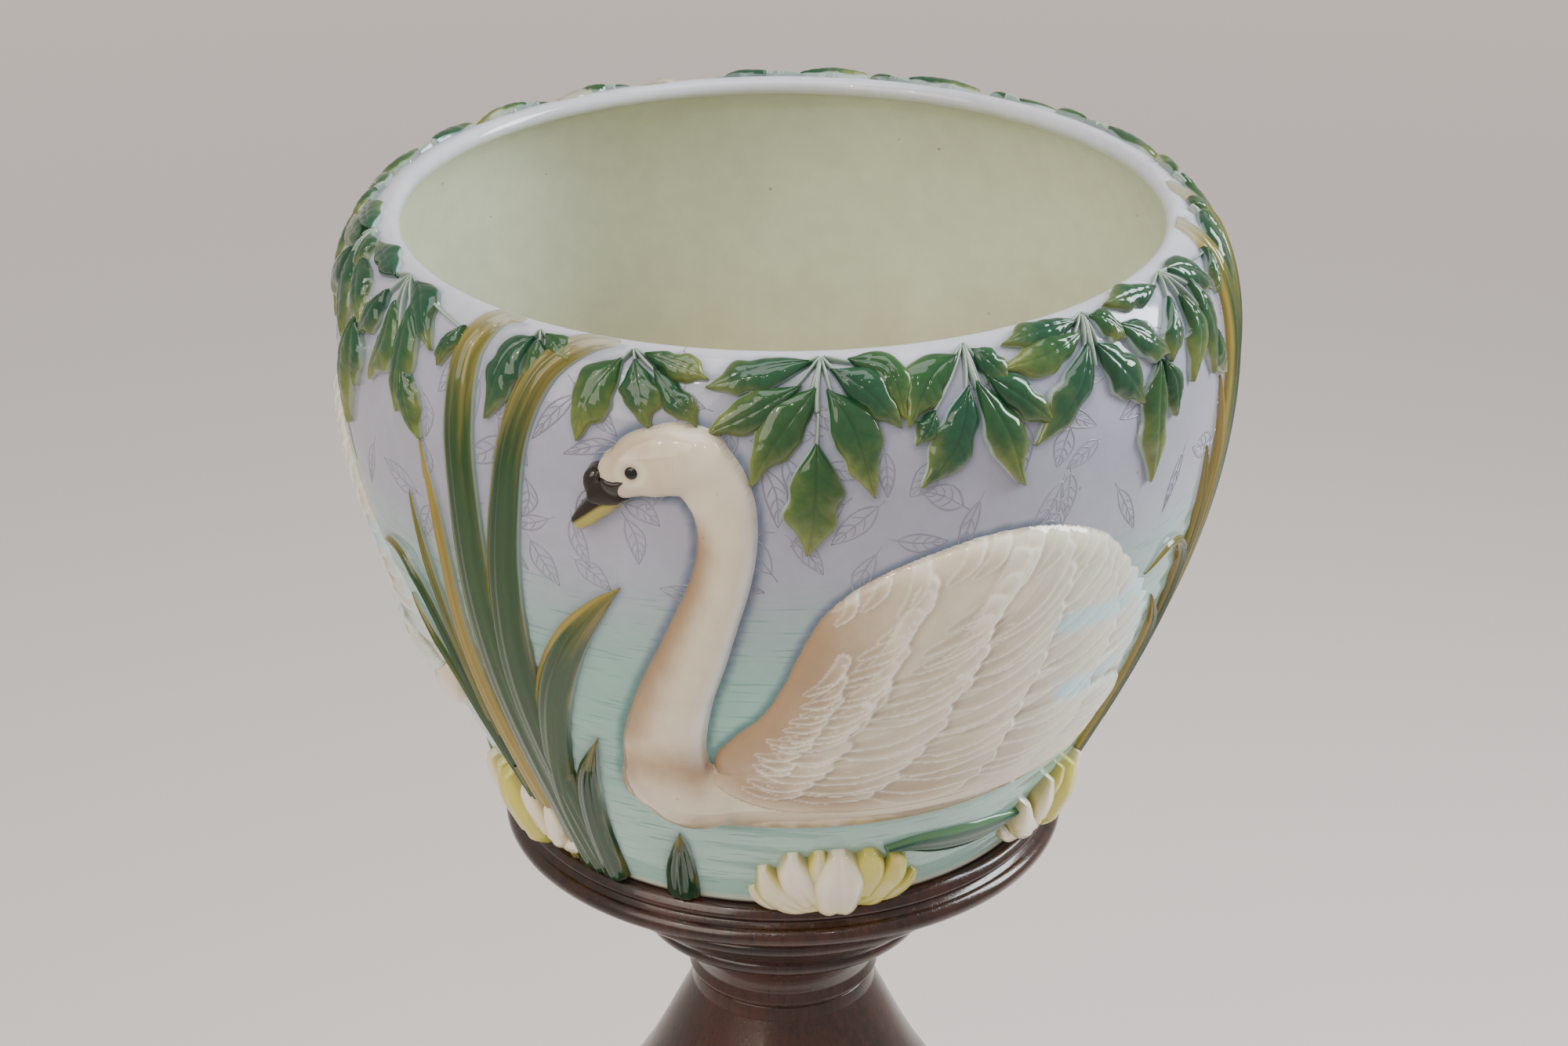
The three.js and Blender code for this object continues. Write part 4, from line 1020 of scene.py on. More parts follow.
sprays = [
    # where the stalk starts, then the leaves: root, middle and tip in (degrees, climb), half width
    ((-32.8, 282), [((-33, 278.6), (-35.8, 268), (-37.2, 245), 8.4),
                    ((-32, 278), (-31.1, 270), (-31.5, 257), 6.6),
                    ((-31.7, 280.4), (-29.2, 277.6), (-27.4, 273), 5.0)]),
    ((-19.2, 281.5), [((-20.2, 277.4), (-22.9, 265), (-24.6, 245.4), 8.4),
                      ((-18.6, 277.6), (-17.3, 266), (-15.6, 254), 7.8),
                      ((-16, 275.6), (-12.7, 265), (-9.8, 256), 5.2),
                      ((-17.6, 280), (-12.8, 276.4), (-8.8, 273), 5.2)]),
    ((4.7, 282), [((3.5, 280), (-3.4, 276.2), (-9.4, 270), 7.0),
                  ((2.2, 271.5), (-3.6, 262), (-8.8, 253), 6.6),
                  ((4.0, 271), (0.2, 257), (-3.8, 235), 8.2), ((5.2, 270), (8.4, 254), (10.2, 229.5), 8.8),
                  ((5.8, 277), (10, 268.5), (13.6, 254.5), 7.2),
                  ((8, 280.4), (12.8, 275), (14.6, 257), 6.6)]),
    ((23.3, 282), [((22.2, 278), (17.7, 271), (14.8, 254.5), 8.2),
                   ((18, 259.5), (16.9, 254.5), (15.6, 247.5), 4.2),
                   ((22.6, 266.5), (20.3, 248.5), (16.2, 231.5), 8.8),
                   ((23.5, 268), (26.7, 247), (29, 225.4), 8.0),
                   ((25, 269), (28.8, 259.6), (33.4, 245), 6.6), ((24, 279), (26, 272), (27.6, 264.5), 5.8)]),
    ((42.1, 282), [((40.7, 279.4), (34.6, 279.6), (28.4, 278.6), 5.6),
                   ((40.3, 275), (34.6, 271.6), (27.6, 269.6), 7.2),
                   ((40.6, 271), (37, 255.4), (30.4, 239.8), 8.2),
                   ((41.6, 270), (45, 256.2), (48.4, 241), 8.4),
                   ((43, 279.8), (45.2, 275), (46.8, 267), 5.8),
                   ((46.4, 273.5), (50.7, 264.4), (54.4, 254), 7.2)]),
    ((60.5, 282), [((57.6, 278), (52.4, 279.6), (46.8, 281.4), 5.6),
                   ((58.6, 273), (56.8, 261), (55, 250.6), 6.8),
                   ((61.2, 271), (62.4, 256), (59.5, 237.5), 8.2),
                   ((65, 275), (66.6, 256), (66.4, 232.5), 7.8),
                   ((62.4, 281), (66.6, 276), (71.4, 261.5), 6.6),
                   ((67.2, 252.5), (69, 240), (71.6, 226.5), 6.2),
                   ((76, 275), (74.6, 267), (73.4, 257.5), 5.2)]),
    ((52.4, 262), [((52.2, 254.5), (50.2, 234.6), (49.9, 207), 8.8),
                   ((52.9, 253.5), (54.4, 242.4), (54.6, 229), 5.8)]),
    ((4.1, 262), [((3.8, 251), (3.6, 230), (2.6, 207.4), 10.8)]),
]
leaves = Drawing("u", "v", "sunk_and_shaded", "tone")
seed = 0
for _, blades in sprays:
    for *points, half in blades:
        seed += 1
        made, fields = leaf(points, half, seed)
        leaves.add_strip(made, **fields)
print("Leaves in one picture:", seed)

# %% [markdown]
# ### The leaves' glaze
#
# Each leaf is a green of its own. The glaze thins to yellow green towards the tip and the edge,
# where a pale margin shows, partly a painted highlight, and pools dark along the rib and the side
# veins. The half of each leaf that lies lower is darker, partly painted shade.

# %% Material: leaves
leaf_glaze, tree, surface = glazed("leaf_glaze")
u, v, tone = attribute(tree, "u"), attribute(tree, "v"), attribute(tree, "tone")
green = blend(tree, tone, colour(20, 70, 48), colour(42, 82, 38))
side = sum_of(tree, "ABSOLUTE", v)
tipward = sum_of(tree, "MULTIPLY_ADD", tone, 0.3, sum_of(tree, "SUBTRACT", u, 0.5))
thin = sum_of(tree, "MULTIPLY_ADD", sum_of(tree, "POWER", side, 3.0), 0.38, tipward)
fine = scaled(tree, object_place(tree), 90, 90, 90)
yellowed = brushed(tree, green, colour(120, 128, 62), thin, fine, 0.34)
# Partly a painted highlight: the pale margin is a slip edge, made stronger on one side.
margin = times(tree, ramp(tree, side, 0.9, 1.0), ramp(tree, v, -0.5, 0.5, 0.75, 0.4))
margined = blend(tree, margin, yellowed, colour(168, 184, 186))
# Pooled glaze along rib and veins, and the painted shade of the lower half.
hollow = times(tree, attribute(tree, "sunk_and_shaded"), 0.9)
fire(tree, surface, margined, pooled=colour(16, 50, 36), hollow=hollow, flecks=0.3, unevenness=0.9)
on_pot("leaf_garland", leaves, leaf_glaze)

# %% [markdown]
# ### Stems
#
# Thin pale stems lie between the leaves: one short stalk from each spray's node to each of its
# leaves, and four longer ones that lead down to the lower leaves.

# %% Stems between the leaves
def stem(line, crown):
    def section(u, v):
        along = (1 - 0.45 * u ** 2) * portion(u * 9 + 0.3)
        return (crown - 0.4) * np.sqrt(portion(1 - (0.93 * v) ** 2)) * along
    return strip(line, 22, 7, section, edge=0.3)


stems = Drawing("u", "v")
for node, blades in sprays:
    for root, middle, *_ in blades:
        root, middle = np.array(root), np.array(middle)
        end = root + 0.22 * (middle - root)
        between = 0.45 * np.array(node) + 0.55 * end
        stems.add_strip(stem([(*node, 0.6), (*between, 0.85), (*end, 0.6)], 3.3))
main_stems = [((4.6, 281), (4.0, 262)), ((23.4, 281), (24, 262)), ((51.6, 270), (52.4, 261)),
              ((42.2, 281), (41, 262))]
for node, foot in main_stems:
    between = ((node[0] + foot[0]) / 2 - 0.3, (node[1] + foot[1]) / 2)
    stems.add_strip(stem([(*node, 1.0), (*between, 1.4), (*foot, 1.2)], 3.6))
stem_glaze, tree, surface = glazed("stem_glaze")
side = sum_of(tree, "ABSOLUTE", attribute(tree, "v"))
# Painted highlight: the paler crest along the middle of each stem.
stem_colour = blend(tree, ramp(tree, side, 0.2, 0.8, 0.4, 0.0), colour(120, 142, 122), colour(184, 192, 190))
hollow = ramp(tree, side, 0.6, 1.0, 0.0, 0.5)
fire(tree, surface, stem_colour, pooled=colour(120, 122, 142), hollow=hollow, flecks=0.2, unevenness=0.8)
on_pot("garland_stems", stems, stem_glaze)

# %% [markdown]
# ## Reeds
#
# Tall blades rise behind the swan's breast and bend onto the lip. Each is a shallow trough with a
# few ribs along it, dark green in the trough and ochre where the glaze thins on the edges.

# %% Reeds
FURROW = 0.12  # where across a blade its deepest line runs


def blade(line, rows, crown, ribs=4):
    ends_on_lip = line[-1][1] > 280

    def section(u, v):
        trough = 1.3 + crown * (1 - v ** 2) ** 0.6 * (0.85 + 0.15 * np.cos(math.pi * v))
        trough = trough + 0.35 * np.cos(math.pi * v * ribs) * (1 - v ** 4)
        trough = trough - 0.7 * bell(v - FURROW, 0.10)
        if ends_on_lip:
            return trough * portion((1 - u) / 0.07) ** 0.6 - 0.3
        return trough * (0.2 + 0.8 * portion((1 - u) / 0.16) ** 0.7)
    return strip(line, rows, 17, section, edge=0.35)


reed_lines = [
    # points of [degrees, climb, half width], relief, tone from green to ochre
    ([(-48.5, 2, 6), (-48, 60, 5.5), (-47.4, 100, 4.2), (-46.9, 140, 3.2), (-46.2, 177, 2.4),
      (-46.8, 201, 1.8), (-49, 226, 0.2)], 2.6, 1.0),
    ([(-51.5, 20, 3), (-50.4, 80, 2.6), (-49.6, 130, 2.2), (-50.6, 170, 1.8), (-52.4, 200, 0.2)], 2.0, 0.8),
    ([(-50, 60, 2), (-51, 105, 2.2), (-52.8, 143, 2.3), (-56.4, 162, 2.2), (-61, 166, 1.8), (-66, 159, 0.2)],
     2.6, 0.3),
    ([(-51, 30, 2.4), (-52.6, 85, 2.8), (-55, 118, 2.4), (-60.4, 141, 0.2)], 2.4, 0.7),
    ([(-43.5, 1, 8.6), (-41.8, 60, 11.4), (-41.4, 130, 10.4), (-41.2, 200, 8.2), (-41.8, 240, 7.8),
      (-42.0, 268, 7.2), (-39.8, 284, 5.6), (-36.5, 287, 3)], 4.0, 0.5),
    ([(-38.5, 1, 7.4), (-38.2, 60, 9), (-37.8, 126, 9.8), (-36.2, 177, 8.4), (-34.6, 213, 7.2),
      (-33, 245, 6.6), (-30.4, 268, 6.4), (-26.2, 281, 5.4), (-21.5, 286, 2.4)], 4.2, 0.35),
    ([(-40, 5, 5.5), (-39.3, 50, 6.6), (-35.5, 95, 7.4), (-31.7, 130, 8.4), (-27.4, 157, 7), (-23.2, 175, 4),
      (-19.7, 187, 0.2)], 4.6, 0.45),
    ([(-36.8, 2, 7), (-35, 40, 6.6), (-31.8, 75, 5.2), (-27.5, 102, 0.2)], 4.4, 0.1),
    ([(-21, 1, 7.2), (-19.8, 20, 6.4), (-18.4, 38, 3.4), (-18, 47, 0.2)], 3.6, 0.0),
]
reeds = Drawing("u", "v", "tone", "at_lip")
for line, crown, tone in reed_lines:
    made = blade(line, 90 if line[-1][1] > 150 else 46, crown)
    reeds.add_strip(made, tone=tone, at_lip=portion((made[1] - 274) / 13))
print("Reeds in one picture:", len(reed_lines))

# %% [markdown]
# ### The reeds' glaze
#
# Long streaks of green and ochre run along each blade. Every blade has a tone of its own, from
# deep green to straw. The furrow is dark, the left edge is ochre, a pale painted reflection runs
# up the right edge, and the tips are frosted where they lie over the lip.

# %% Material: reeds
reed_glaze, tree, surface = glazed("reed_glaze")
u, v, tone = attribute(tree, "u"), attribute(tree, "v"), attribute(tree, "tone")
long_streaks = put(tree, "ShaderNodeCombineXYZ", {
    "X": times(tree, v, 3.2), "Y": times(tree, u, 5.0), "Z": times(tree, tone, 40.0)}).outputs[0]
left_edge = times(tree, ramp(tree, v, 0.35, 0.95), ramp(tree, tone, 0.0, 0.5, 0.25, 1.0))
lightness = left_edge
for lighter in (ramp(tree, v, -0.6, -0.95, 0.0, 0.3), ramp(tree, u, 0.7, 1.0, 0.0, 0.62),
                ramp(tree, tone, 0.6, 1.0)):
    lightness = sum_of(tree, "MAXIMUM", lightness, lighter)
green = blend(tree, tone, colour(20, 60, 36), colour(50, 80, 26))
amount = sum_of(tree, "MULTIPLY_ADD", lightness, 0.85, 0.02)
ochre = brushed(tree, green, colour(152, 132, 60), amount, long_streaks, 0.4)
furrow = ramp(tree, sum_of(tree, "ABSOLUTE", sum_of(tree, "SUBTRACT", v, FURROW)), 0.0, 0.3, 0.7, 0.0)
furrow = times(tree, furrow, ramp(tree, u, 0.7, 0.95, 1.0, 0.1))
# Painted reflection: a pale blue-white line up the right edge, stronger towards the tip.
right_edge_reflection = times(tree, ramp(tree, v, -0.9, -0.98), ramp(tree, u, 0.3, 0.7, 0.05, 0.55))
reflection_and_lip_frost = blend(tree, right_edge_reflection, ochre, colour(168, 192, 190))
reflection_and_lip_frost = blend(tree, times(tree, attribute(tree, "at_lip"), 0.6), reflection_and_lip_frost, colour(184, 186, 178))
fire(tree, surface, reflection_and_lip_frost, pooled=colour(22, 44, 24), hollow=furrow, flecks=0.3, unevenness=0.8)
on_pot("reed_blades", reeds, reed_glaze)

# %% [markdown]
# ## Water lilies
#
# At the foot, lilies open against the wall: plump moulded petals that overlap like the leaves of
# a bud. Each is one strip with a high round section; the fullest petal stands in front because
# its relief is highest. The first lily is cream in front and yellow behind; the second stands a
# little higher and is yellow at its heart.

# %% Lilies
def petal(line, crown, swell):
    def section(u, v):
        along = portion(u * 3 + 0.55) ** 0.5 * (1 - 0.5 * portion((u - 0.5) / 0.5) ** 2)
        across = np.sqrt(portion(1 - np.abs(v) ** 2.4)) - 0.10 * bell(v, 0.2) * swell
        return crown * along * across + 0.35 * np.cos(v * 9) * u * (1 - v ** 2)
    return strip(line, 26, 17, section, edge=0.3)


petals = [
    # line of [degrees from the middle, climb, half width], relief, swell, yellow
    ([(-1.5, 1, 7), (-6.5, 7, 8.4), (-10.8, 18, 8.2), (-13, 34, 0.6)], 8.4, 0.8, 0.30),
    ([(-2.5, 6, 6.5), (-5.4, 18, 8.2), (-7.2, 33, 7.6), (-7.6, 45, 0.6)], 8.8, 1.2, 0.10),
    ([(-2, 14, 5.4), (-2.8, 32, 6), (-3, 46, 0.6)], 6.6, 0.6, 0.55),
    ([(0.8, 0.5, 8), (1, 12, 11.4), (0.9, 27, 11.8), (0.6, 38, 8.4), (0.4, 45.5, 0.8)], 11.6, 1.4, 0.06),
    ([(5.4, 8, 6.4), (6.4, 23, 8), (6.3, 35, 7), (6, 43, 0.6)], 7.6, 0.8, 0.85),
    ([(5.2, 2, 6.5), (8.8, 9, 8), (11.2, 21, 7.6), (12, 30, 5.4), (11.4, 37, 0.6)], 7.2, 0.8, 0.75),
    ([(7, 1, 4.5), (11.8, 4, 5.6), (15.4, 11, 4.4), (17, 18, 0.5)], 5.2, 0.5, 0.65),
    ([(-4, 1, 4), (-9.5, 3, 4.6), (-13.6, 9, 3.6), (-15.4, 15, 0.5)], 5.2, 0.5, 0.40),
]
lilies = Drawing("u", "v", "yellow")
for middle, base, size, yellow_heart in ((9.2, 0, 1.0, False), (62, 8, 0.92, True)):
    for line, crown, swell, yellow in petals:
        laid = [(middle + d * size, base + c * size * 0.88, w * size) for d, c, w in line]
        laid[-1] = (*laid[-1][:2], laid[-1][2] * 4)  # a blunt tip
        made = petal(laid, crown, swell)
        if yellow_heart:
            yellow = 0.95 * bell(line[1][0], 4.5)
        lilies.add_strip(made, v=np.abs(made[4]), yellow=yellow)
lily_glaze, tree, surface = glazed("lily_glaze")
u, v = attribute(tree, "u"), attribute(tree, "v")
cream = blend(tree, ramp(tree, u, 0.0, 0.6), colour(220, 208, 160), colour(234, 224, 206))
amount = sum_of(tree, "MULTIPLY_ADD", ramp(tree, v, 0.3, 0.95), 0.4, attribute(tree, "yellow"))
fine = scaled(tree, object_place(tree), 70, 70, 40)
lemon = brushed(tree, cream, colour(204, 194, 92), amount, fine, 0.3)
hollow = ramp(tree, v, 0.72, 1.0, 0.0, 0.6)
fire(tree, surface, lemon, pooled=colour(140, 136, 92), hollow=hollow, flecks=0.3, unevenness=0.7)
on_pot("water_lilies", lilies, lily_glaze)

# %% [markdown]
# ### Lily pads
#
# One long pad floats between the two lilies. It is seen from low over the water, so it is
# only a thin lens with a furrow along it, dark in the middle and lighter at its rim.

# %% Lily pads
def pad_section(u, v):
    return 0.9 + 2.2 * (1 - v ** 2) ** 0.7 - 0.6 * bell(v, 0.12)


pads = Drawing("v")
pad_line = [(18.3, 37, 0.3), (24, 36, 4.6), (30.5, 32.4, 7.4), (38, 29.5, 7.4), (44.5, 29, 4.6),
            (50, 31, 0.4)]
pads.add_strip(strip(pad_line, 40, 13, pad_section, edge=0.4))
pad_glaze, tree, surface = glazed("pad_glaze")
rim = ramp(tree, sum_of(tree, "ABSOLUTE", attribute(tree, "v")), 0.5, 1.0)
fine = scaled(tree, object_place(tree), 40, 40, 140)
pad_green = brushed(tree, colour(22, 76, 56), colour(92, 136, 96), rim, fine, 0.3)
fire(tree, surface, pad_green, pooled=colour(20, 52, 42), hollow=0.2, flecks=0.2, unevenness=0.8)
on_pot("lily_pads", pads, pad_glaze)

# %% [markdown]
# ## Leaves scratched into the ground
#
# Between the garland and the water the ground is drawn over with faint leaves: an outline, a rib
# and three pairs of veins, scratched by hand and filled with a darker lavender. They are thin
# raised lines of their own, strewn in rows that are a little uneven, with gaps.

# %% Leaves scratched into the ground
scratches = Drawing()
rng = np.random.default_rng(3)
GAPS = 0.22  # the share of places that stay empty


def scratch(points, wide=0.3):
    ends = (0, len(points) - 1)
    line = [(degrees, climb, wide * (0.45 if k in ends else 1)) for k, (degrees, climb) in enumerate(points)]
    scratches.add_strip(strip(line, 9, 3, lambda u, v: 0 * u + 0.12, edge=0.1))


for row_number, climb in enumerate(np.arange(192, 262, 13.5)):
    for degrees in np.arange(-58 + 3.5 * (row_number % 2), 60, 7.4):
        if rng.random() < GAPS:
            continue
        middle = np.array([degrees, climb]) + rng.normal(0, 1, 2) * [2.4, 5]
        turn, long, half = math.radians(rng.normal(-90, 60)), rng.uniform(15, 27), rng.uniform(2.8, 5.2)
        on, across = np.array([math.cos(turn), math.sin(turn)]), np.array([-math.sin(turn), math.cos(turn)])
        scale = np.array([degrees_per_mm(climb), 1])
        bow = rng.normal(0, 1.2)

        def place(t, side):
            wide = side * half * math.sin(math.pi * max(t, 0) ** 0.85) + bow * math.sin(math.pi * t)
            return middle + ((t - 0.5) * long * on + wide * across) * scale

        for side in (-1, 1):
            scratch([place(t, side) for t in (0, 0.2, 0.45, 0.75, 1)])
            for t in (0.3, 0.5, 0.68):
                scratch([place(t, 0), place(t + 0.07, side * 0.45), place(t + 0.16, side * 0.8)], 0.2)
        scratch([place(t, 0) for t in (-0.15, 0.2, 0.5, 0.92)], 0.26)
scratch_glaze, tree, surface = glazed("scratch_glaze")
patchy = ramp(tree, noise(tree, object_place(tree), 16), 0.35, 0.65)
faint = blend(tree, patchy, colour(152, 152, 168), colour(132, 130, 148))
fire(tree, surface, faint, pooled=colour(110, 108, 128), hollow=0.2, flecks=0.0, unevenness=1.0)
on_pot("scratched_leaves", scratches, scratch_glaze)

# %% [markdown]
# ## The pot itself
#
# One closed shell: the foot ring, the wall, the rolled lip, the inside and the floor. After it is
# turned, its outside gets the low ripples of the moulded water, and every point learns how far
# it is from the nearest relief, because that is where the ground's glaze gathers.

# %% The pot's shell
def on_line(climb):
    """Radius and height of the wall's outside at a climb."""
    return np.array([np.interp(climb, wall_climb, wall_line[:, k]) for k in (0, 1)]).T


def inner(climb):
    """The inside of the wall at a climb: one wall thickness in from the outside."""
    ahead = on_line(climb + 0.5) - on_line(climb - 0.5)
    ahead = ahead / np.linalg.norm(ahead, axis=1)[:, None]
    return on_line(climb) + np.stack([-ahead[:, 1], ahead[:, 0]], 1) * WALL


climbs = np.concatenate([np.linspace(0, 220, 118), np.linspace(220, CREST, 48)[1:]])
outside = on_line(climbs)
q = np.linspace(math.pi / 2, 1.5 * math.pi, 11)[1:-1]
nose = np.stack([CREST_RADIUS + WALL / 2 * np.cos(q), BOWL_HEIGHT - WALL / 2 + WALL / 2 * np.sin(q)], 1)
inside = inner(np.concatenate([np.linspace(CREST - 1, 225, 16), np.linspace(220, FLOOR + FLOOR_FILLET, 24)]))
low = inside[-1]
q = np.linspace(0, math.pi / 2, 7)[1:]
floor = np.stack([low[0] - FLOOR_FILLET * np.sin(q), FLOOR + (low[1] - FLOOR) * (1 - np.sin(q)) ** 1.6], 1)
floor = np.vstack([floor, [[(low[0] - FLOOR_FILLET) * share, FLOOR] for share in (0.75, 0.5, 0.25, 0)]])
foot = rounded([(0, 4), (60, 4), (96, 4), (100, 0.3), (106, 0), (111.5, 0), (FOOT_RADIUS, 0.0)], 1.2)[:-1]
line = np.vstack([foot, outside, nose, inside, floor])
along = lengths(line)
along = along - along[len(foot)]
shell = grown(lathe, profile_mesh(line + [0, BOWL_BOTTOM], along), None, Sides=420)
shell = facing_out(shell, "closed")
co = corners(shell)
values = np.empty(len(co), np.float32)
shell.attributes["along"].data.foreach_get("value", values)
around = np.degrees(np.arctan2(co[:, 0], -co[:, 1]))
is_outside = (values > 1) & (values < CREST - 2)
depth = portion(values / 25) * portion((186 - values) / 30) * is_outside
ripple = 0.28 * np.sin(values / 2.1 + 1.3 * np.sin(np.radians(around * 3))
                       + 0.7 * np.sin(np.radians(around * 12)))
swell = 0.6 + 0.4 * np.sin(np.radians(around * 6) + values / 23)
ripple = ripple * swell + 0.25 * np.sin(np.radians(around * 9) + values / 31)
co[:, :2] *= (1 + depth * ripple / 1000 / np.maximum(np.hypot(co[:, 0], co[:, 1]), 0.01))[:, None]
shell.vertices.foreach_set("co", co.ravel())
print("The shell has", len(shell.vertices), "points; the wall is", WALL, "mm thick")

# %% [markdown]
# ### How near the relief is
#
# The painter's brush left a darker line of glaze round the swans and the leaves. For that line
# each point of the shell keeps its distance from the nearest swan and from the nearest greenery.

# %% How near each point of the ground is to the relief
FAR = 30.0  # millimetres; stands for any greater distance


def distances(names):
    tree = kdtree.KDTree(sum(len(bpy.data.objects[name].data.vertices) for name in names))
    k = 0
    for name in names:
        for point in corners(bpy.data.objects[name].data):
            tree.insert(point, k)
            k += 1
    tree.balance()
    found = np.full(len(co), FAR, np.float32)
    for i in np.nonzero(is_outside)[0]:
        found[i] = tree.find(co[i])[2] * 1000
    return found


def wing_fades():
    """The wing's far end has no dark outline."""
    return 10 * portion(((around + 60) % 120 - 60 - 33) / 12)


to_wing = distances(["wing_relief"]) + wing_fades()
to_swan = np.minimum(distances(["swan_relief"]), to_wing).astype(np.float32)
to_green = distances(["leaf_garland", "reed_blades", "lily_pads"])
for label, found in (("to_swan", to_swan), ("to_green", to_green)):
    shell.attributes.new(label, "FLOAT", "POINT").data.foreach_set("value", found)
    print(label, "is under 3 mm at", int((found < 3).sum()), "points")

# %% [markdown]
# ### The ground's glaze
#
# Lavender grey under the garland runs down into the aqua of the water. Teal ripples cross the
# water, and the glaze darkens where it meets the relief. Climb and angle are the two coordinates
# of all of it.

# %% Material: ground
ARC_RADIUS = 172.0  # millimetres: turns an angle round the pot into a length

ground, tree, surface = glazed("ground_glaze")
here = put(tree, "ShaderNodeSeparateXYZ", {0: object_place(tree)})
climb = attribute(tree, "along")
turn = sum_of(tree, "ARCTAN2", here.outputs["X"], times(tree, here.outputs["Y"], -1.0))
unrolled = put(tree, "ShaderNodeCombineXYZ", {"X": times(tree, turn, ARC_RADIUS), "Y": climb}).outputs[0]
flow = scaled(tree, unrolled, 0.018, 0.035, 1)
water = brushed(tree, colour(160, 160, 176), colour(142, 184, 172), ramp(tree, climb, 232, 112), flow, 0.16)
water = brushed(tree, water, colour(157, 194, 183), ramp(tree, climb, 95, 30), flow, 0.3)
water = blend(tree, ramp(tree, climb, 262, 290), water, colour(192, 194, 202))  # pale at the lip
water = blend(tree, ramp(tree, climb, 7, 1), water, colour(214, 214, 196))  # and at the foot

streaks = ramp(tree, noise(tree, scaled(tree, unrolled, 0.034, 0.62, 1), 1.0, 2.0, 0.5), 0.57, 0.70)
in_water = times(tree, ramp(tree, climb, 196, 176), ramp(tree, climb, 4, 14))
ripples = times(tree, streaks, times(tree, in_water, 0.6))
rippled = blend(tree, ripples, water, colour(86, 136, 126))

by_swan = ramp(tree, attribute(tree, "to_swan"), 0.6, 3.8, 1.0, 0.0)
by_swan = times(tree, by_swan, ramp(tree, climb, 60, 100, 0.2, 0.9))
outline_colour = blend(tree, ramp(tree, climb, 120, 170), colour(44, 122, 116), colour(84, 102, 130))
outlined = blend(tree, by_swan, rippled, outline_colour)
by_green = times(tree, ramp(tree, attribute(tree, "to_green"), 0.4, 3.6, 1.0, 0.0), 0.4)
shaded = blend(tree, by_green, outlined, colour(112, 128, 150))
hollow = times(tree, sum_of(tree, "ADD", by_swan, by_green, clamp=True), 0.25)
fire(tree, surface, shaded, pooled=colour(104, 118, 130), hollow=hollow, flecks=0.8, unevenness=1.0)

# %% [markdown]
# ### Inside and foot
#
# The inside is glazed too, pale green at the lip and tan further down, the tan partly painted
# shade, with one darker ring where the wall meets the floor. The pot stood in the kiln on its
# foot ring, which is bare clay.

# %% Materials: inside and foot
inside_glaze, tree, surface = glazed("inside_glaze")
climb = attribute(tree, "along")
# Partly painted shade: the inside turns tan further down.
downward = ramp(tree, climb, 320, 520)
wash = scaled(tree, object_place(tree), 16, 16, 7)
deeper = brushed(tree, colour(204, 210, 186), colour(200, 194, 160), downward, wash, 0.35)
from_lip = blend(tree, ramp(tree, climb, CREST + 4, CREST + 20), colour(192, 196, 196), deeper)
hollow = ramp(tree, climb, 545, 575, 0.0, 0.4)
fire(tree, surface, from_lip, pooled=colour(150, 146, 116), hollow=hollow, flecks=0.9, unevenness=0.7)

bare_clay, tree, surface = new_material("bare_clay")
clay = ramp(tree, noise(tree, object_place(tree), 220, 5), 0.3, 0.7)
bare = blend(tree, clay, colour(188, 164, 132), colour(206, 186, 156))
dull = ramp(tree, clay, 0, 1, 0.75, 0.9)
paint(tree, surface, {"Colour": bare, "Roughness": dull, "Height": clay}, 0.3, 0.0002)

shell.materials.clear()
for material in (ground, inside_glaze, bare_clay):
    shell.materials.append(material)
GROUND, INSIDE, CLAY = 0, 1, 2
loops = np.empty(len(shell.loops), np.int32)
shell.loops.foreach_get("vertex_index", loops)
first = np.empty(len(shell.polygons), np.int32)
shell.polygons.foreach_get("loop_start", first)
zone = values[loops[first]]
under_foot = np.where(zone > -14, CLAY, INSIDE)
index = np.where(zone < -1, under_foot, np.where(zone < CREST + 5, GROUND, INSIDE))
shell.polygons.foreach_set("material_index", index.astype(np.int32))
show("bowl_shell", shell, "jardiniere", ["jardiniere_bowl"])

# %% [markdown]
# ## The pedestal
#
# Every turning is drawn as its profile and sent through the lathe tree. The profiles repeat the
# CAD model's sizes; what is new here is the fine rounding of the beads, coves and corners. Three
# tenons hold it together, each with a little play in its bore.

# %% Heights of the turnings
PLINTH, STEP_UP, STEM, KNOP, COLUMN, COLLAR, BOARD, STAND_TOP = 46, 76, 102, 194, 228, 660, 742, 760
TOP_TENON, MIDDLE_TENON, LOW_TENON = 17, 16, 21  # radii
TOP_END, MIDDLE_END, LOW_END = 752, 154, 61  # heights at which the tenons end
PLAY = 0.3  # between a tenon and its bore
NECK, FLARE, BELLY, STEM_NECK, STEM_FOOT = 41, 112, 102, 46, 104  # radii
URN_LOW, URN_WIDEST = 242, 532  # heights


def bead(radius, height, size, low, high, steps=14):
    """Points round a bead's face, in degrees from level."""
    q = np.radians(np.linspace(low, high, steps))
    return np.stack([radius + size * np.cos(q), height + size * np.sin(q)], 1).tolist()


def part_way(radii, heights, *shares):
    """Points between two radii and two heights, each given as its shares of the way."""
    return [(radii[0] + (radii[1] - radii[0]) * out, heights[0] + (heights[1] - heights[0]) * up)
            for out, up in shares]


def turned_piece(name, line, replaces, sides=160, corner=0.7):
    mesh = grown(lathe, profile_mesh(rounded(line, corner)), mahogany, Sides=sides)
    return show(name, facing_out(mesh, "closed"), "stand", [replaces])


print("The stand's seats are at", (PLINTH, STEP_UP, STEM, KNOP, COLUMN, COLLAR, BOARD, STAND_TOP), "mm")

# %% [markdown]
# ### French-polished mahogany
#
# The rings of a turning cut through straight grain, so the figure runs along the axis: long dark
# pores and slow bands of red and brown. Polish fills the pores and lies like glass on top, dull
# only where hands and dust have been. The beech wedges share the grain group with paler values.

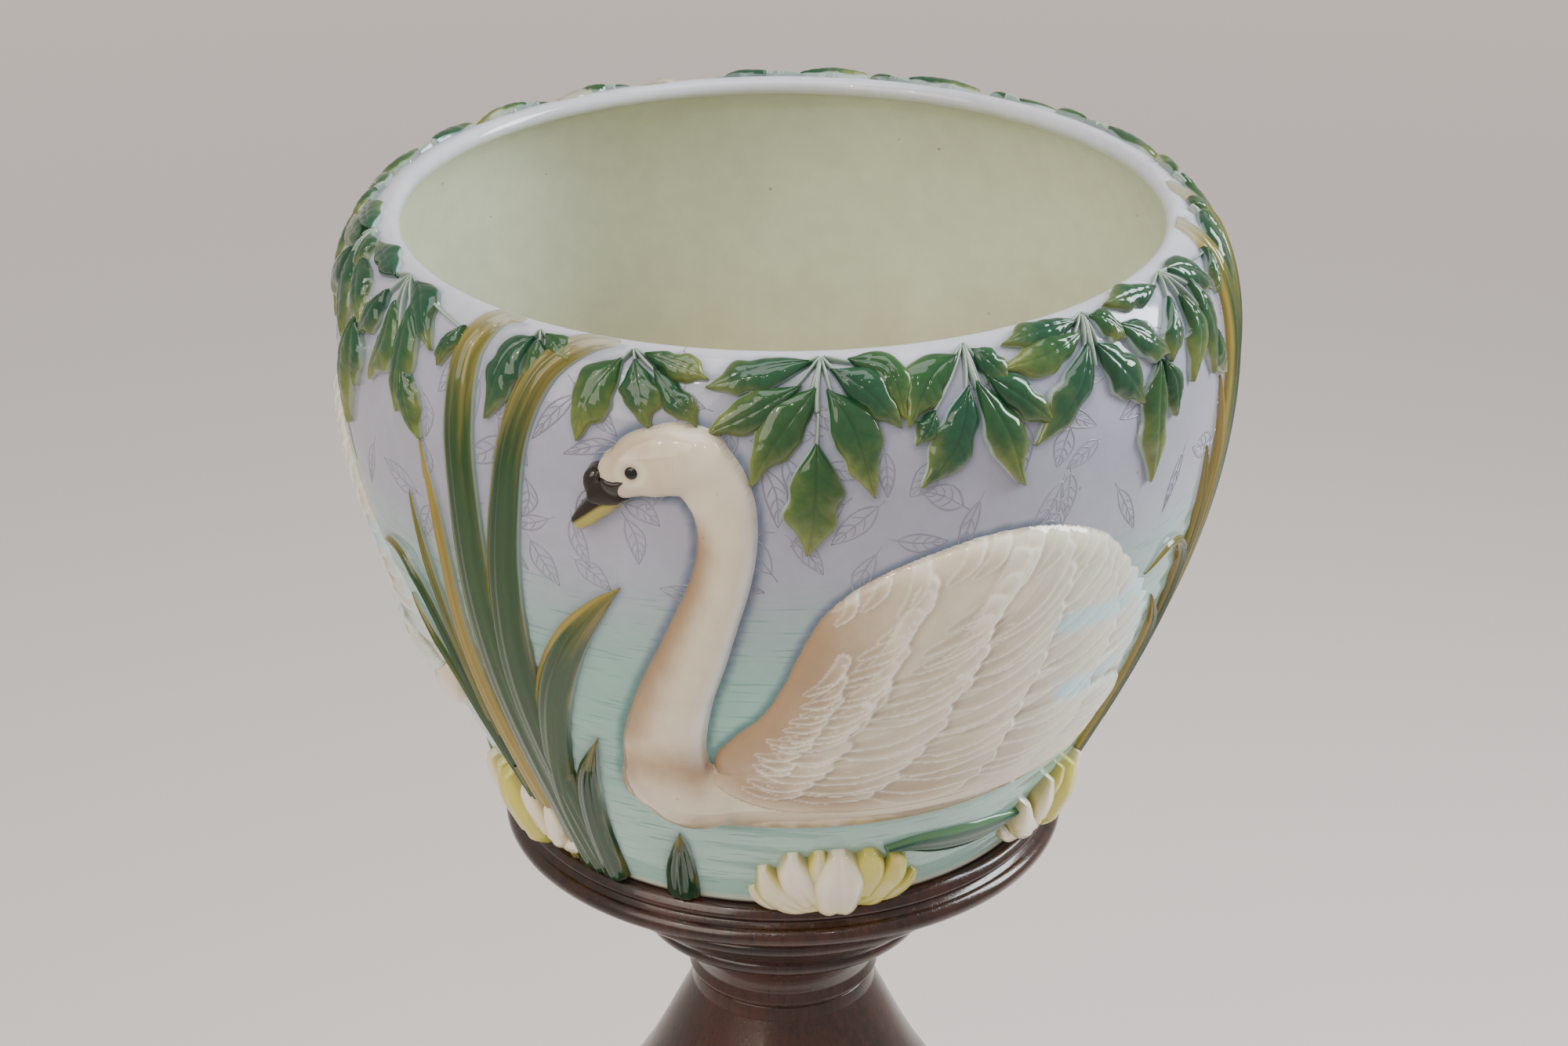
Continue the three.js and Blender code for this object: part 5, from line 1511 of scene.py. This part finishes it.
# %% Shader group: wood grain
grain, start, end = new_tree("wood grain", "ShaderNodeTree", [
    ("Dark", "Color", None), ("Light", "Color", None), ("Pores", "Float", 1.0), ("Sheen", "Float", 0.2),
], [("Colour", "Color"), ("Roughness", "Float"), ("Height", "Float")])
here = object_place(grain)
bands = noise(grain, scaled(grain, here, 26, 26, 3), 1.0, 4.0, 0.6)
fibres = noise(grain, scaled(grain, here, 420, 420, 14), 1.0, 3.0, 0.6)
pores = ramp(grain, noise(grain, scaled(grain, here, 900, 900, 34), 1.0, 1.0), 0.60, 0.70)
mixed = sum_of(grain, "MULTIPLY_ADD", fibres, 0.35, times(grain, bands, 0.75))
wood = blend(grain, ramp(grain, mixed, 0.38, 0.72), start.outputs["Dark"], start.outputs["Light"])
pored = times(grain, pores, start.outputs["Pores"])
wood = blend(grain, times(grain, pored, 0.7), wood, colour(14, 8, 6))
dulled = ramp(grain, noise(grain, here, 18, 4), 0.45, 0.75)
grain.links.new(wood, end.inputs["Colour"])
grain.links.new(sum_of(grain, "MULTIPLY_ADD", dulled, 0.18, start.outputs["Sheen"]), end.inputs["Roughness"])
grain.links.new(sum_of(grain, "SUBTRACT", fibres, times(grain, pored, 1.5)), end.inputs["Height"])

# %% Materials: mahogany, beech and steel
mahogany, tree, surface = new_material(
    "french_polished_mahogany", Coat_Weight=0.3, Coat_Roughness=0.06, IOR=1.45)
polished = group(tree, grain, Dark=colour(23, 11, 7), Light=colour(66, 33, 22), Pores=0.9, Sheen=0.2)
paint(tree, surface, polished, 0.15, 0.0002)
beech, tree, surface = new_material("bare_beech")
plain_wood = group(tree, grain, Dark=colour(168, 132, 92), Light=colour(198, 164, 122), Pores=0.3, Sheen=0.5)
paint(tree, surface, plain_wood, 0.3, 0.0002)
steel, tree, surface = new_material("dull_steel", Metallic=1.0)
stain = ramp(tree, noise(tree, object_place(tree), 160, 4), 0.35, 0.7)
tree.links.new(blend(tree, stain, colour(150, 146, 140), colour(104, 92, 80)), surface.inputs["Base Color"])
tree.links.new(ramp(tree, stain, 0, 1, 0.3, 0.55), surface.inputs["Roughness"])

# %% [markdown]
# ### Board and collar
#
# The board's edge is one round bead under a thin raised rim. The collar spreads from the slim
# neck in a cove, a bead, a scotia, a second bead and a reversed curve.

# %% Top board and collar
bore, bore_end = TOP_TENON + PLAY, TOP_END + PLAY
turned_piece("turned_top_board", [
    (bore, BOARD), (115, BOARD), *bead(117.5, BOARD + 5, 4.5, -60, 75), (116.5, 753.2), (118.2, 754.6),
    (118.5, 756.2), (117.2, 758.6), (115.5, STAND_TOP), (0, STAND_TOP), (0, bore_end), (bore, bore_end),
    (bore, BOARD)], "top_board", 200)


def in_collar(*shares):
    """Points of the collar: shares of the way out, and of the way down."""
    return part_way((NECK, FLARE), (BOARD, COLLAR), *shares)


cove = through(in_collar((0, 0.9), (0.05, 0.78), (0.2, 0.66)), 14).tolist()
scotia = through(in_collar((0.36, 0.52), (0.42, 0.46), (0.54, 0.37), (0.575, 0.335)), 12).tolist()
cyma = through(in_collar((0.66, 0.22), (0.86, 0.1), (1, 0.04)), 14).tolist()
[low_bead, high_bead], [(_, start_height)] = in_collar((0.27, 0.575), (0.6, 0.28)), in_collar((0, 0.96))
turned_piece("turned_collar", [
    (bore, COLLAR), (40, COLLAR), (42.5, start_height), *cove, *bead(*low_bead, 4.1, -60, 70), *scotia,
    *bead(*high_bead, 3.7, -60, 70), *cyma, (FLARE, BOARD), (bore, BOARD), (bore, COLLAR)],
    "moulded_collar", 180, 0.5)

# %% [markdown]
# ### Column, knop and stem
#
# The column is an urn drawn long: widest in its upper third, with a slim neck above. A round
# knop parts it from the stem, which opens downwards like a trumpet.

# %% Column, knop and stem
below = part_way((43, BELLY), (URN_LOW, URN_WIDEST), (0, 0), (0.02, 0.14), (0.24, 0.4), (0.66, 0.7),
                 (0.93, 0.89))
above = part_way((NECK, BELLY), (URN_WIDEST, COLLAR), (1, 0), (0.93, 0.2), (0.64, 0.39), (0.34, 0.62),
                 (0.09, 0.86), (0, 0.95))
urn = through([*below, *above], 90).tolist()
turned_piece("turned_column", [
    (0, MIDDLE_END), (MIDDLE_TENON, MIDDLE_END), (MIDDLE_TENON, COLUMN), (49, COLUMN),
    *bead(49, COLUMN + 5, 4, -70, 70, 10), (48, 238.5), *urn, (40, COLLAR), (TOP_TENON, COLLAR),
    (TOP_TENON, TOP_END), (0, TOP_END)], "urn_column", 180)

bore, bore_end, ring_size = MIDDLE_TENON + PLAY, MIDDLE_END - PLAY, 11.56
turned_piece("turned_knop", [
    (bore, KNOP), (49, KNOP), (49, KNOP + 4), *bead(64 - ring_size, KNOP + 17, ring_size, -78, 78, 24),
    (49, COLUMN - 4), (49, COLUMN), (bore, COLUMN), (bore, KNOP)], "knop_ring")

trumpet = through(part_way((STEM_NECK, STEM_FOOT), (STEM, KNOP), (0.88, 0.13), (0.5, 0.24), (0.18, 0.45),
                           (0.02, 0.74), (0, 0.86)), 36).tolist()
[(_, flare_end)] = part_way((0, 0), (STEM, KNOP), (0, 0.91))
turned_piece("turned_stem", [
    (0, LOW_END), (LOW_TENON, LOW_END), (LOW_TENON, STEM), (101.5, STEM), *bead(100, 106.8, 4.2, -60, 70, 10),
    *trumpet, (48.5, flare_end), (49, KNOP), (bore, KNOP), (bore, bore_end), (0, bore_end)], "trumpet_stem")

# %% [markdown]
# ### Step, plinth and feet
#
# Two discs carry the stem: a stepped one with a wide quarter round, and the plinth with its full
# rounded edge. Three bun feet stand under it, each with a peg in the plinth.

# %% Step, plinth and feet
bore, bore_end = LOW_TENON + PLAY, LOW_END - PLAY
turned_piece("turned_step", [
    (bore, STEP_UP), (126, STEP_UP), (126, 83.8), (122, 85.4), *bead(110, 86.9, 13, 12, 80, 18), (105, STEM),
    (bore, STEM), (bore, STEP_UP)], "base_step", 200)
turned_piece("turned_plinth", [
    (0, PLINTH + 9), (15, PLINTH + 9), (15, PLINTH), (154, PLINTH), *bead(154, 58, 12, -60, 80, 24),
    (154, 72), (129, STEP_UP), (bore, STEP_UP), (bore, bore_end), (0, bore_end)], "base_plinth", 220)

PEG, PEG_END, FEET_CIRCLE = 9, 64, 124
bun = through([(25, 2.8), (33, 19.3), (26, 36.8)], 26).tolist()
foot_line = rounded([(0, 0), (21, 0), *bun, (24, 38.6), (24, PLINTH), (PEG, PLINTH), (PEG, PEG_END),
                     (0, PEG_END)], 0.6)
foot_mesh = facing_out(grown(lathe, profile_mesh(foot_line), mahogany, Sides=72), "closed")
feet = grown(ring, foot_mesh, mahogany, Copies=3, Circle=FEET_CIRCLE / 1000, First_turn=0.0)
show("bun_feet", feet, "stand", [f"bun_foot_{k}" for k in (1, 2, 3)])

# %% [markdown]
# ### Screws
#
# The countersunk screws are turned like everything else, then get their slot: a thin box is
# taken out of the head. The hexagon-headed coach screw, its washer and the two wedges keep
# their CAD shapes, which are right as they are.

# %% Screws
SHANK, HEAD = 2.6, 5.5  # radii
BOARD_SCREW, PLINTH_SCREW = 40, 44  # lengths
BOARD_CIRCLE, PLINTH_CIRCLE = 60, 84  # the circles that the screws stand on
SUNK = 0.3  # how far a head lies under the wood's face


def slotted_screw(length):
    """A countersunk screw that points down, with its head's face at zero."""
    point, thread = (1.2, -length + 4), (SHANK, -length + 9)
    line = rounded([(0, -length), point, thread, (SHANK, -HEAD + SHANK), (HEAD, 0), (0, 0)], 0.2)
    mesh = facing_out(grown(lathe, profile_mesh(line), steel, Sides=32), "sideways")
    screw = bpy.data.objects.new("screw", mesh)
    box = bpy.data.meshes.new("slot")
    x, y, z = 0.0065, 0.0006, 0.0013  # half its length, width and depth, in metres
    box.from_pydata([(i * x, j * y, k * z) for i in (-1, 1) for j in (-1, 1) for k in (-1, 1)], [],
                    [(0, 1, 3, 2), (4, 6, 7, 5), (0, 4, 5, 1), (2, 3, 7, 6), (0, 2, 6, 4), (1, 5, 7, 3)])
    slot = bpy.data.objects.new("slot", box)
    for made in (screw, slot):
        bpy.context.scene.collection.objects.link(made)
    cut = screw.modifiers.new("slot", "BOOLEAN")
    cut.operation, cut.object, cut.solver = "DIFFERENCE", slot, "EXACT"
    graph = bpy.context.evaluated_depsgraph_get()
    result = bpy.data.meshes.new_from_object(screw.evaluated_get(graph))
    for made in (screw, slot):
        bpy.data.objects.remove(made)
    return result


down, up = slotted_screw(BOARD_SCREW), slotted_screw(PLINTH_SCREW)
down.transform(Matrix.Translation((0, 0, (STAND_TOP - SUNK) / 1000)))
up.transform(Matrix.Translation((0, 0, (PLINTH + SUNK) / 1000)) @ Matrix.Rotation(math.pi, 4, "X"))
for label, screw, circle in (("board_screw", down, BOARD_CIRCLE), ("plinth_screw", up, PLINTH_CIRCLE)):
    placed = grown(ring, screw, steel, Copies=3, Circle=circle / 1000, First_turn=0.5)
    show(label + "s", placed, "stand", [f"{label}_{k}" for k in (1, 2, 3)])
for node, material in (("coach_screw", steel), ("coach_screw_washer", steel), ("top_tenon_wedge", beech),
                       ("low_tenon_wedge", beech)):
    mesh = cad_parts[node].data
    mesh.materials.clear()
    mesh.materials.append(material)

# %% [markdown]
# ## Floor and light
#
# The pot was photographed indoors. Here it stands on a plain pale floor that fades into an even
# backdrop, so that no horizon shows: from 1.5 metres out the floor glows in the backdrop's
# colour, but only for a ray that looks at it, so the light stays true.

# %% Floor
BACKDROP = colour(222, 208, 200)
FLOOR_HALF = 9  # metres


def looked_at(tree):
    """1 for rays from the camera, mirror rays and rays through glass, 0 for the light itself."""
    path = put(tree, "ShaderNodeLightPath")
    return sum_of(tree, "MAXIMUM", path.outputs["Is Camera Ray"], sum_of(
        tree, "MAXIMUM", path.outputs["Is Glossy Ray"], path.outputs["Is Transmission Ray"]))


floor_mesh = bpy.data.meshes.new("floor")
floor_mesh.from_pydata([(x * FLOOR_HALF, y * FLOOR_HALF, 0) for x, y in ((-1, -1), (1, -1), (1, 1), (-1, 1))],
                       [], [(0, 1, 2, 3)])
floor_object = bpy.data.objects.new("floor", floor_mesh)
bpy.context.scene.collection.objects.link(floor_object)
floor_paint, tree, surface = new_material("pale_floor", Roughness=0.8)
surface.inputs["Base Color"].default_value = colour(238, 228, 221)
away = put(tree, "ShaderNodeVectorMath", {0: object_place(tree)}, operation="LENGTH").outputs["Value"]
glow = put(tree, "ShaderNodeEmission", {"Color": BACKDROP}).outputs[0]
faded = put(tree, "ShaderNodeMixShader", {0: times(tree, ramp(tree, away, 1.5, 4.0), looked_at(tree)),
                                          1: surface.outputs[0], 2: glow}).outputs[0]
tree.links.new(faded, tree.nodes["Material Output"].inputs["Surface"])
floor_mesh.materials.append(floor_paint)

# %% [markdown]
# ### Light
#
# A cool, narrow window stands to the right, a large warm one to the left in front, and a soft
# ceiling light hangs above. Four small lamps give the sparks that run along a glazed lip. The
# surround is grey for the light itself. All of it is set so that a colour renders about as it is
# written.

# %% Light
world = bpy.data.worlds.new("surround")
world.use_nodes = True
bpy.context.scene.world = world
tree = world.node_tree
background = tree.nodes["Background"]
tree.links.new(blend(tree, looked_at(tree), (0.5, 0.5, 0.51, 1), BACKDROP), background.inputs["Color"])
background.inputs["Strength"].default_value = 1.0


def window(name, place, target, wide, high, power, tint=(1, 1, 1)):
    light = bpy.data.lights.new(name, "AREA")
    light.shape, light.size, light.size_y, light.energy, light.color = "RECTANGLE", wide, high, power, tint
    lamp = bpy.data.objects.new(name, light)
    bpy.context.scene.collection.objects.link(lamp)
    lamp.location = place
    lamp.rotation_euler = (Vector(target) - Vector(place)).to_track_quat("-Z", "Y").to_euler()


window("window_right", (1.5, 0.25, 1.7), (0, 0, 0.92), 0.6, 1.1, 42, (0.9, 0.96, 1.0))
window("window_left", (-1.3, -1.5, 2.1), (0, 0, 0.85), 1.7, 1.7, 34, (1.0, 0.9, 0.78))
window("ceiling", (0.1, -0.3, 2.9), (0, 0, 0.9), 1.5, 1.5, 24)
small_lamps = [(-0.95, -0.9, 2.0), (-0.55, -1.15, 2.2), (-0.1, -1.3, 2.3), (0.5, -1.25, 2.25)]
for k, place in enumerate(small_lamps):
    window(f"small_lamp_{k + 1}", place, (0, 0, 0.95), 0.05, 0.05, 1.2, (1.0, 0.9, 0.76))

# %% [markdown]
# ## Finish
#
# The line that the wall was drawn on has done its work. What stands is counted.

# %% Finish
bpy.data.objects.remove(wall_object)
pieces = [o for o in bpy.data.objects if o.type == "MESH" and not o.hide_render and o.name != "floor"]
total = sum(len(p.vertices) - 2 for o in pieces for p in o.data.polygons)
print("Pieces:", len(pieces), "- triangles:", total)
